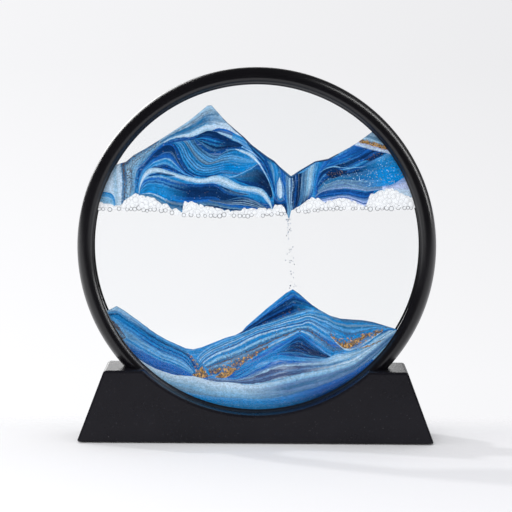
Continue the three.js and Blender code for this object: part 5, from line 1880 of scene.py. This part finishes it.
# Painted shade: the floor's pale tone darkens from left to right, standing in for the light falling off.
floor_falloff_share = add_node(floor_tree, "MapRange", From_Min=-0.15, From_Max=0.15)
floor_painted_falloff = add_node(floor_tree, "MixRGB", Color1=display(245, 245, 246), Color2=display(236, 236, 238))
floor_tone = add_node(floor_tree, "MixRGB", Color1=display(40, 40, 42))
floor_reach = add_node(floor_tree, "VectorMath", {"operation": "LENGTH"})
floor_far = eased_range(floor_tree, start=0.22, end=0.42)
floor_behind = eased_range(floor_tree, start=0.012, end=0.07)
floor_clear = math_node(floor_tree, "MAXIMUM")
floor_ray = add_node(floor_tree, "LightPath")
floor_seen = math_node(floor_tree, "MAXIMUM")
floor_share = math_node(floor_tree, "MULTIPLY")
floor_open = add_node(floor_tree, "BsdfTransparent")
floor_blend = add_node(floor_tree, "MixShader")
floor_output = floor_tree.nodes["Material Output"]
wire(floor_tree, [
    (floor_place, "Object", floor_parts, "Vector"),
    (floor_parts, "Y", floor_front_shade, "Value"),
    (floor_parts, "X", floor_falloff_share, "Value"),
    (floor_parts, "Y", floor_behind, "Value"),
    (floor_falloff_share, "Result", floor_painted_falloff, "Fac"),
    (floor_painted_falloff, "Color", floor_tone, "Color2"),
    (floor_front_shade, "Result", floor_tone, "Fac"),
    (floor_tone, "Color", floor_shader, "Base Color"),
    (floor_place, "Object", floor_reach, 0),
    (floor_reach, "Value", floor_far, "Value"),
    (floor_ray, "Is Camera Ray", floor_seen, 0),
    (floor_ray, "Is Transmission Ray", floor_seen, 1),
    (floor_far, "Result", floor_clear, 0),
    (floor_behind, "Result", floor_clear, 1),
    (floor_clear, 0, floor_share, 0),
    (floor_seen, 0, floor_share, 1),
    (floor_share, 0, floor_blend, "Fac"),
    (floor_shader, "BSDF", floor_blend, 1),
    (floor_open, "BSDF", floor_blend, 2),
    (floor_blend, "Shader", floor_output, "Surface"),
])
floor.data.materials.append(floor_white)


def add_lamp(kind, name, place, towards, energy, **settings):
    """A lamp at a place, turned towards another."""
    lamp = bpy.data.lights.new(name, kind)
    lamp.energy = energy
    for setting, value in settings.items():
        setattr(lamp, setting, value)
    lamp_object = bpy.data.objects.new(name, lamp)
    bpy.context.collection.objects.link(lamp_object)
    lamp_object.location = place
    lamp_object.rotation_euler = (Vector(towards) - Vector(place)).to_track_quat("-Z", "Y").to_euler()
    return lamp_object


ring_middle = (0, 0, ring_height)
key = add_lamp("SUN", "key", (-1.43, 0.8, 1.3), ring_middle, energy=0.6, angle=math.radians(3))
key.visible_glossy = False
fill = add_lamp(
    "AREA", "fill", (-0.3, -1.7, 0.9), ring_middle, energy=16.5, shape="RECTANGLE", size=1.0, size_y=1.0
)
fill.visible_glossy = False
strip = add_lamp(
    "AREA", "strip", (0.78, 0.326, 0.64), ring_middle, energy=4.4, shape="RECTANGLE", size=0.16, size_y=1.1
)
strip.visible_diffuse = False
rim = add_lamp(
    "AREA", "rim", (-0.3, 1.6, 0.3), ring_middle, energy=1.8, shape="RECTANGLE", size=0.95, size_y=0.5
)
back = add_lamp(
    "AREA", "back", (-0.76, 1.81, 0.66), ring_middle, energy=7.0, shape="RECTANGLE", size=0.75, size_y=0.75
)
for lamp in (rim, back):
    lamp.visible_diffuse = False
    lamp.visible_camera = False
    lamp.visible_transmission = False
bounce = add_lamp(
    "AREA", "bounce", (-0.5, -0.3, 0.16), (-0.07, 0, 0.03), energy=0.4, shape="RECTANGLE",
    size=0.3, size_y=0.2,
)
bounce.visible_glossy = False


# Camera: a long lens in front of the object and a little above it, level but for a slight tilt.
# Its place and turns were found from the base's corners and the ring's circle.
CAMERA_PLACE = (0.00423, -1.0858, 0.20674)
CAMERA_PITCH = 0.1054
CAMERA_YAW = -0.0042
CAMERA_ROLL = 0.0061
LENS_MM = 154.25
SENSOR_MM = 36
NEAR_CLIP = 0.05
forward = Vector((
    math.sin(CAMERA_YAW) * math.cos(CAMERA_PITCH),
    math.cos(CAMERA_YAW) * math.cos(CAMERA_PITCH),
    -math.sin(CAMERA_PITCH),
))
level_right = Vector((math.cos(CAMERA_YAW), -math.sin(CAMERA_YAW), 0))
level_up = level_right.cross(forward)
right = level_right * math.cos(CAMERA_ROLL) + level_up * math.sin(CAMERA_ROLL)
up = level_up * math.cos(CAMERA_ROLL) - level_right * math.sin(CAMERA_ROLL)
camera_data = bpy.data.cameras.new("camera")
camera_data.lens = LENS_MM
camera_data.sensor_width = SENSOR_MM
camera_data.clip_start = NEAR_CLIP
camera = bpy.data.objects.new("camera", camera_data)
bpy.context.collection.objects.link(camera)
turn = Matrix((right, up, -forward)).transposed().to_4x4()
camera.matrix_world = Matrix.Translation(CAMERA_PLACE) @ turn
bpy.context.scene.camera = camera
